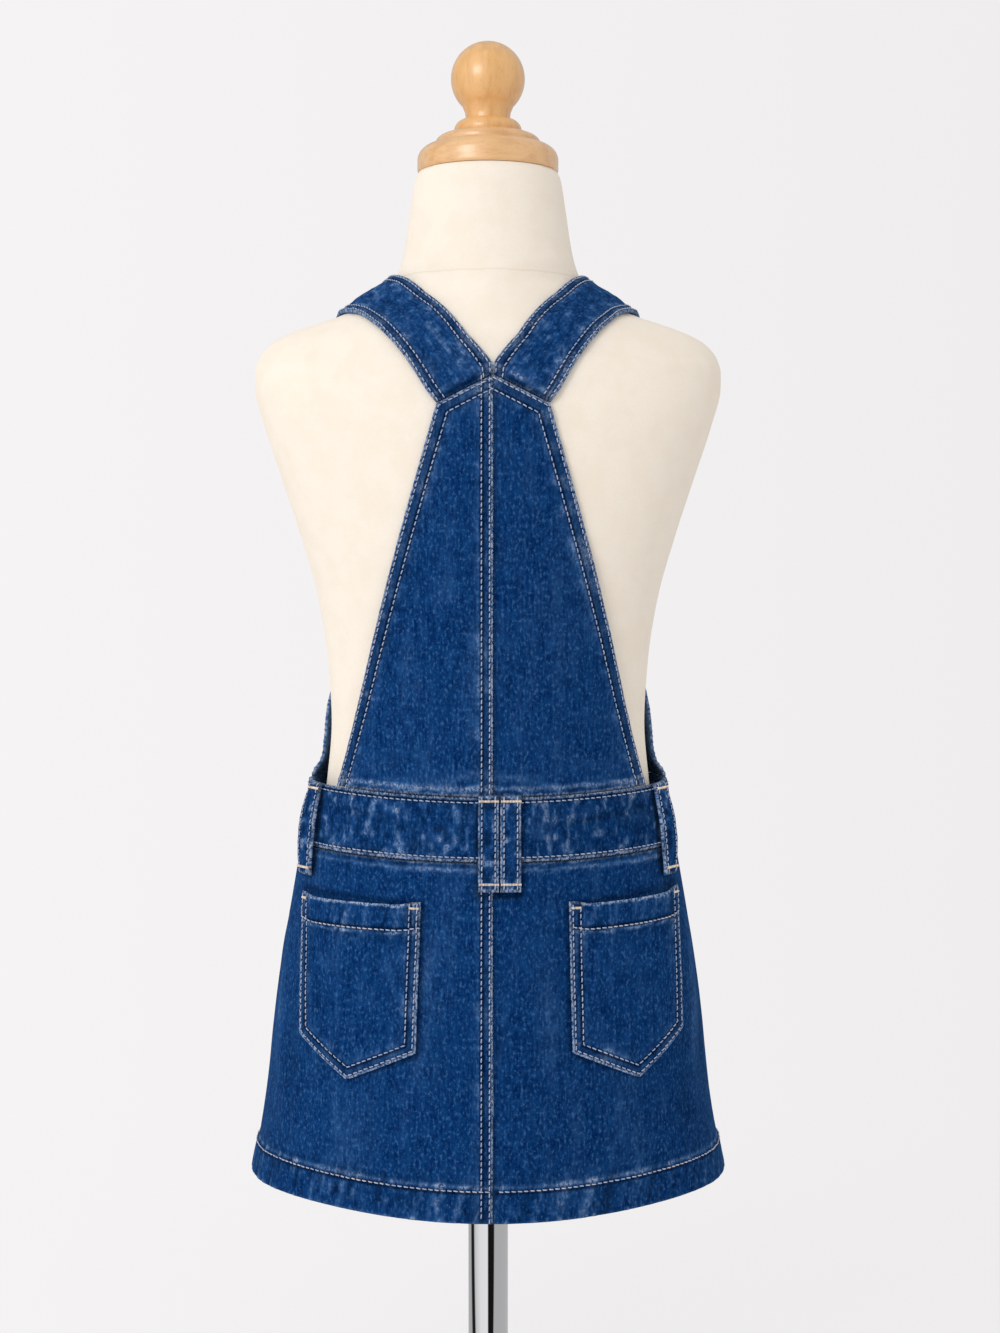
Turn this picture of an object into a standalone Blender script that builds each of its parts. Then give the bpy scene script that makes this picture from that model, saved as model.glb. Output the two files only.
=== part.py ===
"""A child's denim overall dress on a limbless dress form with a wooden cap, a pole and a base plate.

Sizes are in millimetres until a mesh is made, and +Z is up. The dress faces -Y, so its back is
towards +Y and the wearer's left is towards +X. Two families of horizontal rings give every shape:
the form's own rings, and the garment's, which stand off them. A piece of cloth is cut in the
garment's own measures, its height and the arc from the centre back, and then laid on those rings.
"""

import functools
import math
from bisect import bisect_right
from collections import namedtuple

import bpy
from mathutils import Vector

MM = 0.001

# Cloth
DENIM = 1.2
BAND_WALL = 2.4
HEM_WALL = 2.2
STRAP_WALL = 2.4
LOOP_WALL = 2.0
SEAM = 0.3
SIDE_SEAM = 0.5
CLOTH_LIE = 2.2
BAND_PROUD = 0.5

# Levels, from the surface that the base plate stands on
HEM_LEVEL = 158.0
HEM_DEPTH = 18.0
BAND_BOTTOM = 367.3
BAND_TOP = 403.5
NECK_TOP = 782.5
FORM_FOOT = 216.0

# Back bib, its half widths as arcs from the centre-back seam, which sits a little to the right
BACK_SEAM = -3.5
BIB_APEX_LEVEL = 651.0
BIB_CORNER_LEVEL = 634.0
BIB_CORNER = 33.3
BIB_FOOT = 101.0

# Front bib
FRONT_BIB_TOP = 615.0

# Straps
STRAP_WIDTH = 38.5
STRAP_LIE = 1.2
STRAP_OVER_BIB = 3.1
STRAP_RAMP = 22.0
STRAP_START = (17.0, 80.0, 644.0)
STRAP_RIDGE = (78.0, 0.0, 706.5)
STRAP_END = (58.0, -75.0, 588.0)
STRAP_BOW = 13.0

# Buttons
BUTTON_RADIUS = 8.5
BUTTON_DEPTH = 3.2
BUTTON_SETBACK = 15.0
BUTTON_GAP = 0.5

# Pockets, by arc from the centre-back seam and height
POCKET_INNER_TOP = (45.0, 341.5)
POCKET_OUTER_TOP = (134.0, 341.5)
POCKET_INNER_FOOT = (48.3, 255.5)
POCKET_POINT = (89.0, 237.0)
POCKET_OUTER_FOOT = (128.0, 258.5)

# Belt loops
LOOP_WIDTH = 12.2
LOOP_GAP = 0.9
PAIR_CENTRE = -7.2
PAIR_SPREAD = 12.9
PAIR_TOP = 403.5
PAIR_FOOT = 347.5
PAIR_BOW = 1.2
SIDE_LOOP_ARC_AT_TOP = 115.5
SIDE_LOOP_ARC_AT_FOOT = 123.0
SIDE_LOOP_TOP = 407.0
SIDE_LOOP_FOOT = 351.5
SIDE_LOOP_BOW = 3.6

# Stand
POLE_RADIUS = 12.5
BASE_RADIUS = 118.0
BASE_DEPTH = 8.0
SOCKET_RADIUS = 19.0
SOCKET_BORE = 12.9
SOCKET_HEIGHT = 34.0

# Wooden cap, a thick rounded disc with a thinner one on it
CAP_RADIUS = 43.7
CAP_SHOULDER = 790.5
CAP_STEP_LEVEL = 800.2
CAP_STEP_RADIUS = 32.4
CAP_STEP_SHOULDER = 801.5
CAP_SEAT = 806.6
CAP_SEAT_RADIUS = 22.0

# Finial, a ball on a waisted neck and a rounded ring
RING_RADIUS = 21.0
RING_SHOULDER = 808.6
RING_TOP = 815.3
RING_TOP_RADIUS = 14.8
NECK_RADIUS = 13.8
NECK_LEVEL = 817.4
BALL_RADIUS = 22.9
BALL_LEVEL = 840.7
BALL_FOOT_ANGLE = -46.0

# Mesh fineness
FORM_STEP = 15.0
FORM_SIDES = 32
OUTLINE_STEPS = 40
RIBBON_ACROSS = 4
TURNED_STEPS = 32

Ring = namedtuple("Ring", "height half_width back front squareness")
ArmholePoint = namedtuple("ArmholePoint", "height half_arc")
Finish = namedtuple("Finish", "colour roughness metallic")

FORM_RINGS = (
    Ring(FORM_FOOT, 100.0, 62.0, 55.0, 2.2),
    Ring(220.0, 109.0, 70.0, 62.0, 2.3),
    Ring(232.0, 113.5, 76.0, 67.0, 2.3),
    Ring(260.0, 114.0, 82.0, 71.0, 2.3),
    Ring(293.0, 114.0, 85.5, 73.5, 2.3),
    Ring(331.0, 111.5, 85.0, 76.5, 2.3),
    Ring(368.0, 106.0, 79.0, 78.0, 2.3),
    Ring(404.0, 101.0, 72.0, 78.0, 2.3),
    Ring(443.0, 97.8, 67.5, 76.5, 2.3),
    Ring(481.0, 100.0, 69.0, 75.0, 2.3),
    Ring(518.0, 105.6, 73.5, 74.0, 2.3),
    Ring(556.0, 116.0, 78.0, 74.0, 2.3),
    Ring(593.0, 128.0, 80.5, 73.5, 2.3),
    Ring(625.0, 138.5, 79.5, 71.5, 2.3),
    Ring(650.0, 144.7, 75.5, 68.0, 2.2),
    Ring(659.0, 144.8, 73.0, 66.0, 2.15),
    Ring(668.0, 142.5, 69.5, 63.5, 1.9),
    Ring(678.0, 134.0, 65.5, 60.5, 1.75),
    Ring(687.0, 115.0, 61.0, 57.5, 1.57),
    Ring(695.0, 91.0, 56.5, 54.5, 1.54),
    Ring(705.0, 76.5, 52.5, 51.5, 1.54),
    Ring(712.0, 64.5, 50.0, 49.5, 1.6),
    Ring(717.0, 58.0, 48.8, 48.6, 1.8),
    Ring(724.0, 54.8, 47.6, 47.5, 2.0),
    Ring(734.0, 52.2, 46.5, 46.5, 2.0),
    Ring(761.0, 48.0, 44.5, 44.5, 2.0),
    Ring(779.0, 45.0, 43.5, 43.5, 2.0),
    Ring(NECK_TOP, 43.0, 42.0, 42.0, 2.0),
)

# The outer face of the cloth from the hem up to the small of the back, where it bridges the hollow
LOWER_GARMENT_RINGS = (
    Ring(HEM_LEVEL, 148.8, 108.0, 106.0, 2.2),
    Ring(181.0, 144.4, 105.5, 104.0, 2.2),
    Ring(218.0, 138.4, 102.0, 100.0, 2.2),
    Ring(256.0, 134.7, 99.5, 96.5, 2.2),
    Ring(293.0, 130.0, 96.5, 93.0, 2.2),
    Ring(331.0, 123.5, 92.0, 90.0, 2.25),
    Ring(BAND_BOTTOM, 117.0, 86.0, 87.0, 2.3),
    Ring(386.0, 114.5, 82.5, 85.5, 2.3),
    Ring(BAND_TOP, 111.5, 79.5, 84.0, 2.3),
    Ring(430.0, 106.0, 76.5, 82.0, 2.3),
    Ring(460.0, 103.2, 75.5, 80.0, 2.3),
    Ring(500.0, 105.6, 77.0, 78.5, 2.3),
    Ring(530.0, 111.2, 79.0, 77.6, 2.3),
)

# The front armhole edge, as arcs from the centre front, upward from the side seam
ARMHOLE = (
    ArmholePoint(430.0, 142.0),
    ArmholePoint(455.0, 128.0),
    ArmholePoint(490.0, 103.0),
    ArmholePoint(530.0, 82.0),
    ArmholePoint(575.0, 69.0),
    ArmholePoint(FRONT_BIB_TOP, 64.0),
)

FINISHES = {
    "denim": Finish((0.009, 0.036, 0.140), 0.85, 0.0),
    "cotton": Finish((0.930, 0.850, 0.740), 0.90, 0.0),
    "beech": Finish((0.790, 0.500, 0.260), 0.40, 0.0),
    "chrome": Finish((0.780, 0.780, 0.790), 0.08, 1.0),
    "steel": Finish((0.620, 0.620, 0.630), 0.25, 1.0),
    "brass": Finish((0.560, 0.380, 0.160), 0.35, 1.0),
}


def slopes_through(heights, values):
    """The slope at each row. It is zero where the values turn, so a curve never bulges past a row."""
    rises = [
        (values[i + 1] - values[i]) / (heights[i + 1] - heights[i]) for i in range(len(values) - 1)
    ]
    slopes = [rises[0]]
    for before, after in zip(rises, rises[1:]):
        turns = before * after <= 0.0
        slopes.append(0.0 if turns else 2.0 * before * after / (before + after))
    slopes.append(rises[-1])
    return slopes


def smooth_value(heights, values, height):
    """The value at a height on the smooth curve through the rows."""
    slopes = slopes_through(heights, values)
    height = min(max(height, heights[0]), heights[-1])
    row = min(bisect_right(heights, height) - 1, len(heights) - 2)
    span = heights[row + 1] - heights[row]
    t = (height - heights[row]) / span
    rise = values[row + 1] - values[row]
    start = slopes[row] * span
    end = slopes[row + 1] * span
    return values[row] + t * start + t * t * (3 * rise - 2 * start - end) + t**3 * (start + end - 2 * rise)


class Rings:
    """A surface given by horizontal rings, read by height and by arc from its centre back."""

    def __init__(self, rows):
        self.heights = [row.height for row in rows]
        self.columns = list(zip(*rows))

    @functools.lru_cache(maxsize=None)
    def ring(self, height):
        values = [smooth_value(self.heights, column, height) for column in self.columns[1:]]
        return Ring(height, *values)

    @functools.lru_cache(maxsize=None)
    def outline(self, height):
        """Arcs and points of the ring's half on the wearer's left, from centre back to centre front."""
        ring = self.ring(height)
        power = 2.0 / ring.squareness
        points = []
        for step in range(2 * OUTLINE_STEPS + 1):
            turn = math.pi * step / (2 * OUTLINE_STEPS)
            depth = ring.back if step <= OUTLINE_STEPS else -ring.front
            points.append(
                (ring.half_width * math.sin(turn) ** power, depth * abs(math.cos(turn)) ** power)
            )
        arcs = [0.0]
        for before, after in zip(points, points[1:]):
            arcs.append(arcs[-1] + math.dist(before, after))
        return arcs, points

    def side_arc(self, height):
        return self.outline(height)[0][OUTLINE_STEPS]

    def half_girth(self, height):
        return self.outline(height)[0][-1]

    def point(self, height, arc):
        """The point this far round from the centre back, towards the wearer's left when positive."""
        arcs, points = self.outline(height)
        girth = 2.0 * arcs[-1]
        arc = (arc + arcs[-1]) % girth - arcs[-1]
        reach = abs(arc)
        step = min(bisect_right(arcs, reach) - 1, len(arcs) - 2)
        part = (reach - arcs[step]) / (arcs[step + 1] - arcs[step])
        x = points[step][0] + part * (points[step + 1][0] - points[step][0])
        y = points[step][1] + part * (points[step + 1][1] - points[step][1])
        return Vector((math.copysign(x, arc), y, height))

    def normal(self, height, arc):
        low = max(height - 3.0, self.heights[0])
        high = min(height + 3.0, self.heights[-1])
        upward = self.point(high, arc) - self.point(low, arc)
        along = self.point(height, arc + 3.0) - self.point(height, arc - 3.0)
        return upward.cross(along).normalized()

    def laid(self, height, arc, out=0.0):
        """A point laid on the surface, moved out along its normal."""
        return self.point(height, arc) + out * self.normal(height, arc)

    def level_of(self, point):
        """Below 0 inside the surface and above 0 outside it."""
        ring = self.ring(round(point.z, 3))
        depth = ring.back if point.y >= 0.0 else ring.front
        return (abs(point.x) / ring.half_width) ** ring.squareness + (
            abs(point.y) / depth
        ) ** ring.squareness - 1.0

    def hit(self, inside, direction, reach):
        """Where a ray from a point inside leaves the surface."""
        near = 0.0
        far = reach
        for _ in range(40):
            middle = 0.5 * (near + far)
            if self.level_of(inside + middle * direction) < 0.0:
                near = middle
            else:
                far = middle
        return inside + near * direction

    def gradient(self, point):
        step = 0.5
        steps = (Vector((step, 0, 0)), Vector((0, step, 0)), Vector((0, 0, step)))
        return Vector(
            [self.level_of(point + d) - self.level_of(point - d) for d in steps]
        ).normalized()


def grown(ring, by):
    """A ring that stands this far off another all round."""
    return Ring(ring.height, ring.half_width + by, ring.back + by, ring.front + by, ring.squareness)


def garment_rows():
    """The cut rows below, and above them the form's own rows grown by the cloth that lies on them."""
    first_height = LOWER_GARMENT_RINGS[-1].height + 10.0
    upper = [grown(row, CLOTH_LIE) for row in FORM_RINGS if row.height > first_height]
    return list(LOWER_GARMENT_RINGS) + upper


FORM = Rings(FORM_RINGS)
GARMENT = Rings(garment_rows())


def new_collection(name):
    collection = bpy.data.collections.new(name)
    bpy.context.scene.collection.children.link(collection)
    return collection


def finish_material(name, finish):
    """A Principled BSDF of the finish, for one sub-part."""
    colour, roughness, metallic = FINISHES[finish]
    material = bpy.data.materials.new(f"{name}_{finish}")
    material.use_nodes = True
    shader = material.node_tree.nodes["Principled BSDF"]
    shader.inputs["Base Color"].default_value = (*colour, 1.0)
    shader.inputs["Roughness"].default_value = roughness
    shader.inputs["Metallic"].default_value = metallic
    return material


def keep(obj, finish, collection):
    """Gives an object its material and its place in the collection."""
    for other in list(obj.users_collection):
        other.objects.unlink(obj)
    collection.objects.link(obj)
    obj.data.materials.clear()
    obj.data.materials.append(finish_material(obj.name, finish))
    obj.data.shade_smooth()
    obj.data.set_sharp_from_angle(angle=math.radians(40.0))
    return obj


def faces_outward(rows):
    """Whether the middle face of a grid of points turns away from the form's axis."""
    i = (len(rows) - 1) // 2
    j = (len(rows[0]) - 1) // 2
    upward = rows[i + 1][j] - rows[i][j]
    across = rows[i][j + 1] - rows[i][j]
    axis_point = Vector((0.0, 0.0, rows[i][j].z - 60.0))
    return upward.cross(across).dot(rows[i][j] - axis_point) > 0.0


def open_sheet(name, rows):
    """A mesh object of the grid of points, its faces turned away from the axis."""
    if not faces_outward(rows):
        rows = [row[::-1] for row in rows]
    width = len(rows[0])
    faces = []
    for i in range(len(rows) - 1):
        for j in range(width - 1):
            first = i * width + j
            faces.append((first, first + width, first + width + 1, first + 1))
    mesh = bpy.data.meshes.new(name)
    mesh.from_pydata([point * MM for row in rows for point in row], [], faces)
    return bpy.data.objects.new(name, mesh)


def cloth(name, rows, wall, collection, outward=False):
    """A cloth piece: the grid is its outer face, or its inner face when it grows outward."""
    piece = open_sheet(name, rows)
    keep(piece, "denim", collection)
    solidify = piece.modifiers.new("Wall", "SOLIDIFY")
    solidify.thickness = wall * MM
    solidify.offset = 1.0 if outward else -1.0
    solidify.use_even_offset = True
    return piece


def spaced(first, last, count):
    return [first + (last - first) * step / count for step in range(count + 1)]


def garment_patch(left, right, low, high, rows, columns, out=0.0):
    """A grid on the garment between two side edges, each an arc at a share of the way up.

    low and high give the height at a share of the way across.
    """
    grid = []
    for up in spaced(0.0, 1.0, rows):
        row = []
        for across in spaced(0.0, 1.0, columns):
            height = low(across) + up * (high(across) - low(across))
            arc = left(up) + across * (right(up) - left(up))
            row.append(GARMENT.laid(height, arc, out))
        grid.append(row)
    return grid


def between(start, end):
    return lambda share: start + share * (end - start)


def band_of(levels, left, right, columns, out):
    """A grid between fixed levels, with side edges that depend on the height."""
    grid = []
    for height in levels:
        start = left(height)
        end = right(height)
        grid.append([GARMENT.laid(height, arc, out) for arc in spaced(start, end, columns)])
    return grid


def left_side(height):
    return GARMENT.side_arc(height) - SIDE_SEAM / 2


def right_side(height):
    return -GARMENT.side_arc(height) + SIDE_SEAM / 2


def front_left(height):
    return GARMENT.side_arc(height) + SIDE_SEAM / 2


def front_right(height):
    return 2.0 * GARMENT.half_girth(height) - GARMENT.side_arc(height) - SIDE_SEAM / 2


def thicken_hem(piece):
    """The turned-up hem is two walls thick, the rest of the panel one."""
    group = piece.vertex_groups.new(name="Hem")
    in_hem = [v.index for v in piece.data.vertices if v.co.z < (HEM_LEVEL + HEM_DEPTH + 1.0) * MM]
    group.add(in_hem, 1.0, "REPLACE")
    wall = piece.modifiers["Wall"]
    wall.thickness = HEM_WALL * MM
    wall.vertex_group = group.name
    wall.thickness_vertex_group = DENIM / HEM_WALL


def build_skirt(collection):
    above_hem = spaced(HEM_LEVEL + HEM_DEPTH, BAND_BOTTOM - SEAM, 9)
    levels = [HEM_LEVEL] + above_hem
    seam_left = BACK_SEAM + SEAM / 2
    seam_right = BACK_SEAM - SEAM / 2
    panels = (
        ("skirt_back_left", lambda height: seam_left, left_side, 11),
        ("skirt_back_right", right_side, lambda height: seam_right, 11),
        ("skirt_front", front_left, front_right, 22),
    )
    for name, left, right, columns in panels:
        thicken_hem(cloth(name, band_of(levels, left, right, columns, 0.0), DENIM, collection))


def build_waistband(collection):
    levels = spaced(BAND_BOTTOM, BAND_TOP, 3)
    halves = (
        ("waistband_back", right_side, left_side),
        ("waistband_front", front_left, front_right),
    )
    for name, left, right in halves:
        cloth(name, band_of(levels, left, right, 24, BAND_PROUD), BAND_WALL, collection)


def build_back_bib(collection):
    """Two straight-sided halves, whose tops slope down from the seam to the corners."""
    foot = BAND_TOP + SEAM
    fall = BIB_APEX_LEVEL - BIB_CORNER_LEVEL
    foot_line = between(foot, foot)
    left_top = between(BIB_APEX_LEVEL, BIB_APEX_LEVEL - fall)
    right_top = between(BIB_APEX_LEVEL - fall, BIB_APEX_LEVEL)
    seam_left = between(BACK_SEAM + SEAM / 2, BACK_SEAM + SEAM / 2)
    seam_right = between(BACK_SEAM - SEAM / 2, BACK_SEAM - SEAM / 2)
    left_edge = between(BACK_SEAM + BIB_FOOT, BACK_SEAM + BIB_CORNER)
    right_edge = between(BACK_SEAM - BIB_FOOT, BACK_SEAM - BIB_CORNER)
    left = garment_patch(seam_left, left_edge, foot_line, left_top, 14, 7)
    right = garment_patch(right_edge, seam_right, foot_line, right_top, 14, 7)
    cloth("back_bib_left", left, DENIM, collection)
    cloth("back_bib_right", right, DENIM, collection)


def armhole_half_arc(height):
    """The front bib's half width, as an arc from the centre front."""
    foot = BAND_TOP + SEAM
    at_side = GARMENT.half_girth(foot) - GARMENT.side_arc(foot) - SEAM / 2
    heights = [foot] + [row.height for row in ARMHOLE]
    arcs = [at_side] + [row.half_arc for row in ARMHOLE]
    return smooth_value(heights, arcs, height)


def build_front_bib(collection):
    levels = spaced(BAND_TOP + SEAM, FRONT_BIB_TOP, 14)
    grid = band_of(
        levels,
        lambda height: GARMENT.half_girth(height) - armhole_half_arc(height),
        lambda height: GARMENT.half_girth(height) + armhole_half_arc(height),
        18,
        0.0,
    )
    cloth("front_bib", grid, DENIM, collection)


def mirrored(point):
    return Vector((-point.x, point.y, point.z))


def strap_line(side, count):
    """Points along a strap's middle, where its plane cuts the form, its front half bowed inward.

    side is 1 for the wearer's left and -1 for the right, which is worked out as a left one and then
    mirrored. Only its start differs, because the back seam is off centre.
    """
    start = Vector(STRAP_START) + Vector((side * BACK_SEAM, 0.0, 0.0))
    ridge = Vector(STRAP_RIDGE)
    end = Vector(STRAP_END)
    centre = 0.5 * (start + end)
    back = (start - centre).normalized()
    plane_normal = (ridge - start).cross(end - start).normalized()
    up = back.cross(plane_normal).normalized()
    if up.z < 0.0:
        up = -up
    fine = 4 * count
    line = []
    for step in range(fine + 1):
        turn = math.pi * step / fine
        direction = math.cos(turn) * back + math.sin(turn) * up
        inward = STRAP_BOW * math.sin(turn) * (0.5 - 0.5 * math.cos(turn)) ** 2
        line.append(FORM.hit(centre - Vector((inward, 0.0, 0.0)), direction, 200.0))
    arcs = [0.0]
    for before, after in zip(line, line[1:]):
        arcs.append(arcs[-1] + (after - before).length)
    evenly = []
    for arc in spaced(0.0, arcs[-1], count):
        step = min(bisect_right(arcs, arc) - 1, fine - 1)
        part = (arc - arcs[step]) / (arcs[step + 1] - arcs[step])
        evenly.append(line[step].lerp(line[step + 1], part))
    return evenly


def on_form(point, out):
    """A point near the form, moved along the form's normal until it stands this far out."""
    normal = FORM.gradient(point)
    seat = FORM.hit(point - 25.0 * normal, normal, 60.0)
    return seat + out * FORM.gradient(seat)


def strap_stand_off(height, toward_front):
    """The strap lies on the form, and rises over the front bib's top edge."""
    if not toward_front:
        return STRAP_LIE
    share = (FRONT_BIB_TOP + 6.0 + STRAP_RAMP - height) / STRAP_RAMP
    share = min(max(share, 0.0), 1.0)
    return STRAP_LIE + (STRAP_OVER_BIB - STRAP_LIE) * share * share * (3.0 - 2.0 * share)


def strap_rows(side):
    """Rows across a strap, from the slanted joint at the bib over the shoulder, before mirroring."""
    line = strap_line(side, 26)
    seam = side * BACK_SEAM
    rows = []
    joint = []
    for share in spaced(0.0, 1.0, RIBBON_ACROSS):
        arc = seam + BIB_CORNER + share * (SEAM / 2 - BIB_CORNER)
        level = BIB_CORNER_LEVEL + share * (BIB_APEX_LEVEL - BIB_CORNER_LEVEL)
        joint.append(on_form(GARMENT.laid(level + 1.5 * SEAM, arc), STRAP_LIE))
    rows.append(joint)
    for step in range(1, len(line)):
        middle = line[step]
        before = line[step - 1]
        after = line[min(step + 1, len(line) - 1)]
        normal = FORM.gradient(middle)
        inward = (after - before).cross(normal).normalized()
        if inward.x > 0.0:
            inward = -inward
        row = []
        for share in spaced(-0.5, 0.5, RIBBON_ACROSS):
            beside = middle + share * STRAP_WIDTH * inward
            out = strap_stand_off(middle.z, middle.y < 0.0)
            row.append(on_form(beside, out))
        rows.append(row)
    return rows


def build_straps(collection):
    for name, side in (("strap_left", 1), ("strap_right", -1)):
        rows = strap_rows(side)
        if side < 0:
            rows = [[mirrored(point) for point in row] for row in rows]
        cloth(name, rows, STRAP_WALL, collection, outward=True)


def build_buttons(collection):
    """Shank buttons, each on the end of its strap."""
    out = STRAP_OVER_BIB + STRAP_WALL + BUTTON_GAP + BUTTON_DEPTH / 2
    for name, side in (("button_left", 1), ("button_right", -1)):
        line = strap_line(side, 40)
        step_length = (line[-1] - line[-2]).length
        seat = line[-1 - round(BUTTON_SETBACK / step_length)]
        facing = FORM.gradient(seat)
        centre = seat + out * facing
        if side < 0:
            centre = mirrored(centre)
            facing = mirrored(facing)
        bpy.ops.mesh.primitive_cylinder_add(
            vertices=24,
            radius=BUTTON_RADIUS * MM,
            depth=BUTTON_DEPTH * MM,
            location=centre * MM,
            rotation=facing.to_track_quat("Z", "Y").to_euler(),
        )
        button = bpy.context.object
        button.name = name
        rim = button.modifiers.new("Rim", "BEVEL")
        rim.width = 0.9 * MM
        rim.segments = 2
        keep(button, "brass", collection)


def pocket_grid(side):
    """A patch with a level top, straight sides and a foot that comes to a point."""
    inner_top, outer_top = POCKET_INNER_TOP, POCKET_OUTER_TOP
    inner_foot, outer_foot = POCKET_INNER_FOOT, POCKET_OUTER_FOOT
    point_share = (POCKET_POINT[0] - inner_foot[0]) / (outer_foot[0] - inner_foot[0])

    def foot(across):
        if across <= point_share:
            return inner_foot[1] + (POCKET_POINT[1] - inner_foot[1]) * across / point_share
        past = (across - point_share) / (1.0 - point_share)
        return POCKET_POINT[1] + (outer_foot[1] - POCKET_POINT[1]) * past

    inner_edge = between(BACK_SEAM + side * inner_foot[0], BACK_SEAM + side * inner_top[0])
    outer_edge = between(BACK_SEAM + side * outer_foot[0], BACK_SEAM + side * outer_top[0])
    return garment_patch(inner_edge, outer_edge, foot, between(inner_top[1], outer_top[1]), 8, 8, SEAM)


def build_pockets(collection):
    for name, side in (("pocket_left", 1), ("pocket_right", -1)):
        cloth(name, pocket_grid(side), DENIM, collection, outward=True)


def loop_grid(arcs, levels, bow, twist):
    """A strip whose ends lie on the band and the skirt, and whose middle stands off them.

    arcs and levels are those of its foot and its top. twist lifts the edge that is nearer the side.
    """
    grid = []
    for share in spaced(0.0, 1.0, 10):
        height = levels[0] + share * (levels[1] - levels[0])
        middle = arcs[0] + share * (arcs[1] - arcs[0])
        rise = bow * math.sin(math.pi * share) ** 0.6
        row = []
        for edge in (-1.0, 0.0, 1.0):
            arc = middle + edge * LOOP_WIDTH / 2
            row.append(GARMENT.laid(height, arc, LOOP_GAP + rise * (1.0 + edge * twist)))
        grid.append(row)
    return grid


def build_loops(collection):
    for name, side in (("loop_back_left", 1), ("loop_back_right", -1)):
        arc = PAIR_CENTRE + side * PAIR_SPREAD / 2
        grid = loop_grid((arc, arc), (PAIR_FOOT, PAIR_TOP), PAIR_BOW, 0.0)
        cloth(name, grid, LOOP_WALL, collection, outward=True)
    for name, side in (("loop_side_left", 1), ("loop_side_right", -1)):
        arcs = (side * SIDE_LOOP_ARC_AT_FOOT, side * SIDE_LOOP_ARC_AT_TOP)
        grid = loop_grid(arcs, (SIDE_LOOP_FOOT, SIDE_LOOP_TOP), SIDE_LOOP_BOW, side * 0.5)
        cloth(name, grid, LOOP_WALL, collection, outward=True)


def form_levels():
    """The levels of the form's rings, with more between them where its side outline runs far."""
    levels = [FORM_RINGS[0].height]
    for low, high in zip(FORM_RINGS, FORM_RINGS[1:]):
        run = math.hypot(high.height - low.height, high.half_width - low.half_width)
        levels += spaced(low.height, high.height, math.ceil(run / FORM_STEP))[1:]
    return levels


def build_form(collection):
    """The covered torso and neck: one loft through the form's rings, flat at the neck and the foot."""
    levels = form_levels()
    sides = FORM_SIDES
    points = []
    for level in levels:
        half = FORM.half_girth(level)
        points += [FORM.point(level, arc) for arc in spaced(-half, half, sides)[:-1]]
    faces = [tuple(range(sides)), tuple(range((len(levels) - 1) * sides, len(levels) * sides))[::-1]]
    for row in range(len(levels) - 1):
        for side in range(sides):
            first = row * sides + side
            second = row * sides + (side + 1) % sides
            faces.append((first, first + sides, second + sides, second))
    mesh = bpy.data.meshes.new("form_body")
    mesh.from_pydata([point * MM for point in points], [], faces)
    keep(bpy.data.objects.new("form_body", mesh), "cotton", collection)


def turned(name, profile, finish, collection, steps=TURNED_STEPS):
    """A solid of revolution about the upright axis, from a profile that runs down its outer side."""
    mesh = bpy.data.meshes.new(name)
    edges = [(i, i + 1) for i in range(len(profile) - 1)]
    mesh.from_pydata([(radius * MM, 0.0, level * MM) for radius, level in profile], edges, [])
    piece = bpy.data.objects.new(name, mesh)
    screw = piece.modifiers.new("Turn", "SCREW")
    screw.steps = steps
    screw.render_steps = steps
    screw.use_merge_vertices = True
    screw.merge_threshold = 0.0001
    keep(piece, finish, collection)
    screw.use_smooth_shade = True
    return piece


def round_over(centre, radii, first, last, count):
    """Profile points on an elliptical arc, its angles in degrees from straight out to straight up."""
    turns = [math.radians(angle) for angle in spaced(first, last, count)]
    return [
        (centre[0] + radii[0] * math.cos(turn), centre[1] + radii[1] * math.sin(turn)) for turn in turns
    ]


def build_cap(collection):
    """The stepped disc on the neck and the ball finial above it, both turned from beech."""
    foot = NECK_TOP + SEAM
    step_radii = (CAP_STEP_RADIUS - CAP_SEAT_RADIUS, CAP_SEAT - CAP_STEP_SHOULDER)
    rim_inset = CAP_STEP_RADIUS + 0.5
    disc = [(0.0, CAP_SEAT)]
    disc += round_over((CAP_SEAT_RADIUS, CAP_STEP_SHOULDER), step_radii, 90, 0, 4)
    disc.append((CAP_STEP_RADIUS, CAP_STEP_LEVEL))
    rim_radii = (CAP_RADIUS - rim_inset, CAP_STEP_LEVEL - 0.5 - CAP_SHOULDER)
    disc += round_over((rim_inset, CAP_SHOULDER), rim_radii, 90, 0, 5)
    disc += [(CAP_RADIUS, foot + 2.0), (CAP_RADIUS - 1.6, foot), (0.0, foot)]
    turned("neck_cap", disc, "beech", collection)

    foot = CAP_SEAT + SEAM
    ball = round_over((0.0, BALL_LEVEL), (BALL_RADIUS, BALL_RADIUS), 90, BALL_FOOT_ANGLE, 11)
    ball[0] = (0.0, BALL_LEVEL + BALL_RADIUS)
    neck = [(NECK_RADIUS + 0.4, NECK_LEVEL + 2.8), (NECK_RADIUS, NECK_LEVEL), (NECK_RADIUS + 0.3, RING_TOP)]
    ring_radii = (RING_RADIUS - RING_TOP_RADIUS, RING_TOP - 0.1 - RING_SHOULDER)
    ring = round_over((RING_TOP_RADIUS, RING_SHOULDER), ring_radii, 90, 0, 4)
    turned("finial", ball + neck + ring + [(RING_RADIUS - 0.3, foot), (0.0, foot)], "beech", collection)


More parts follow.
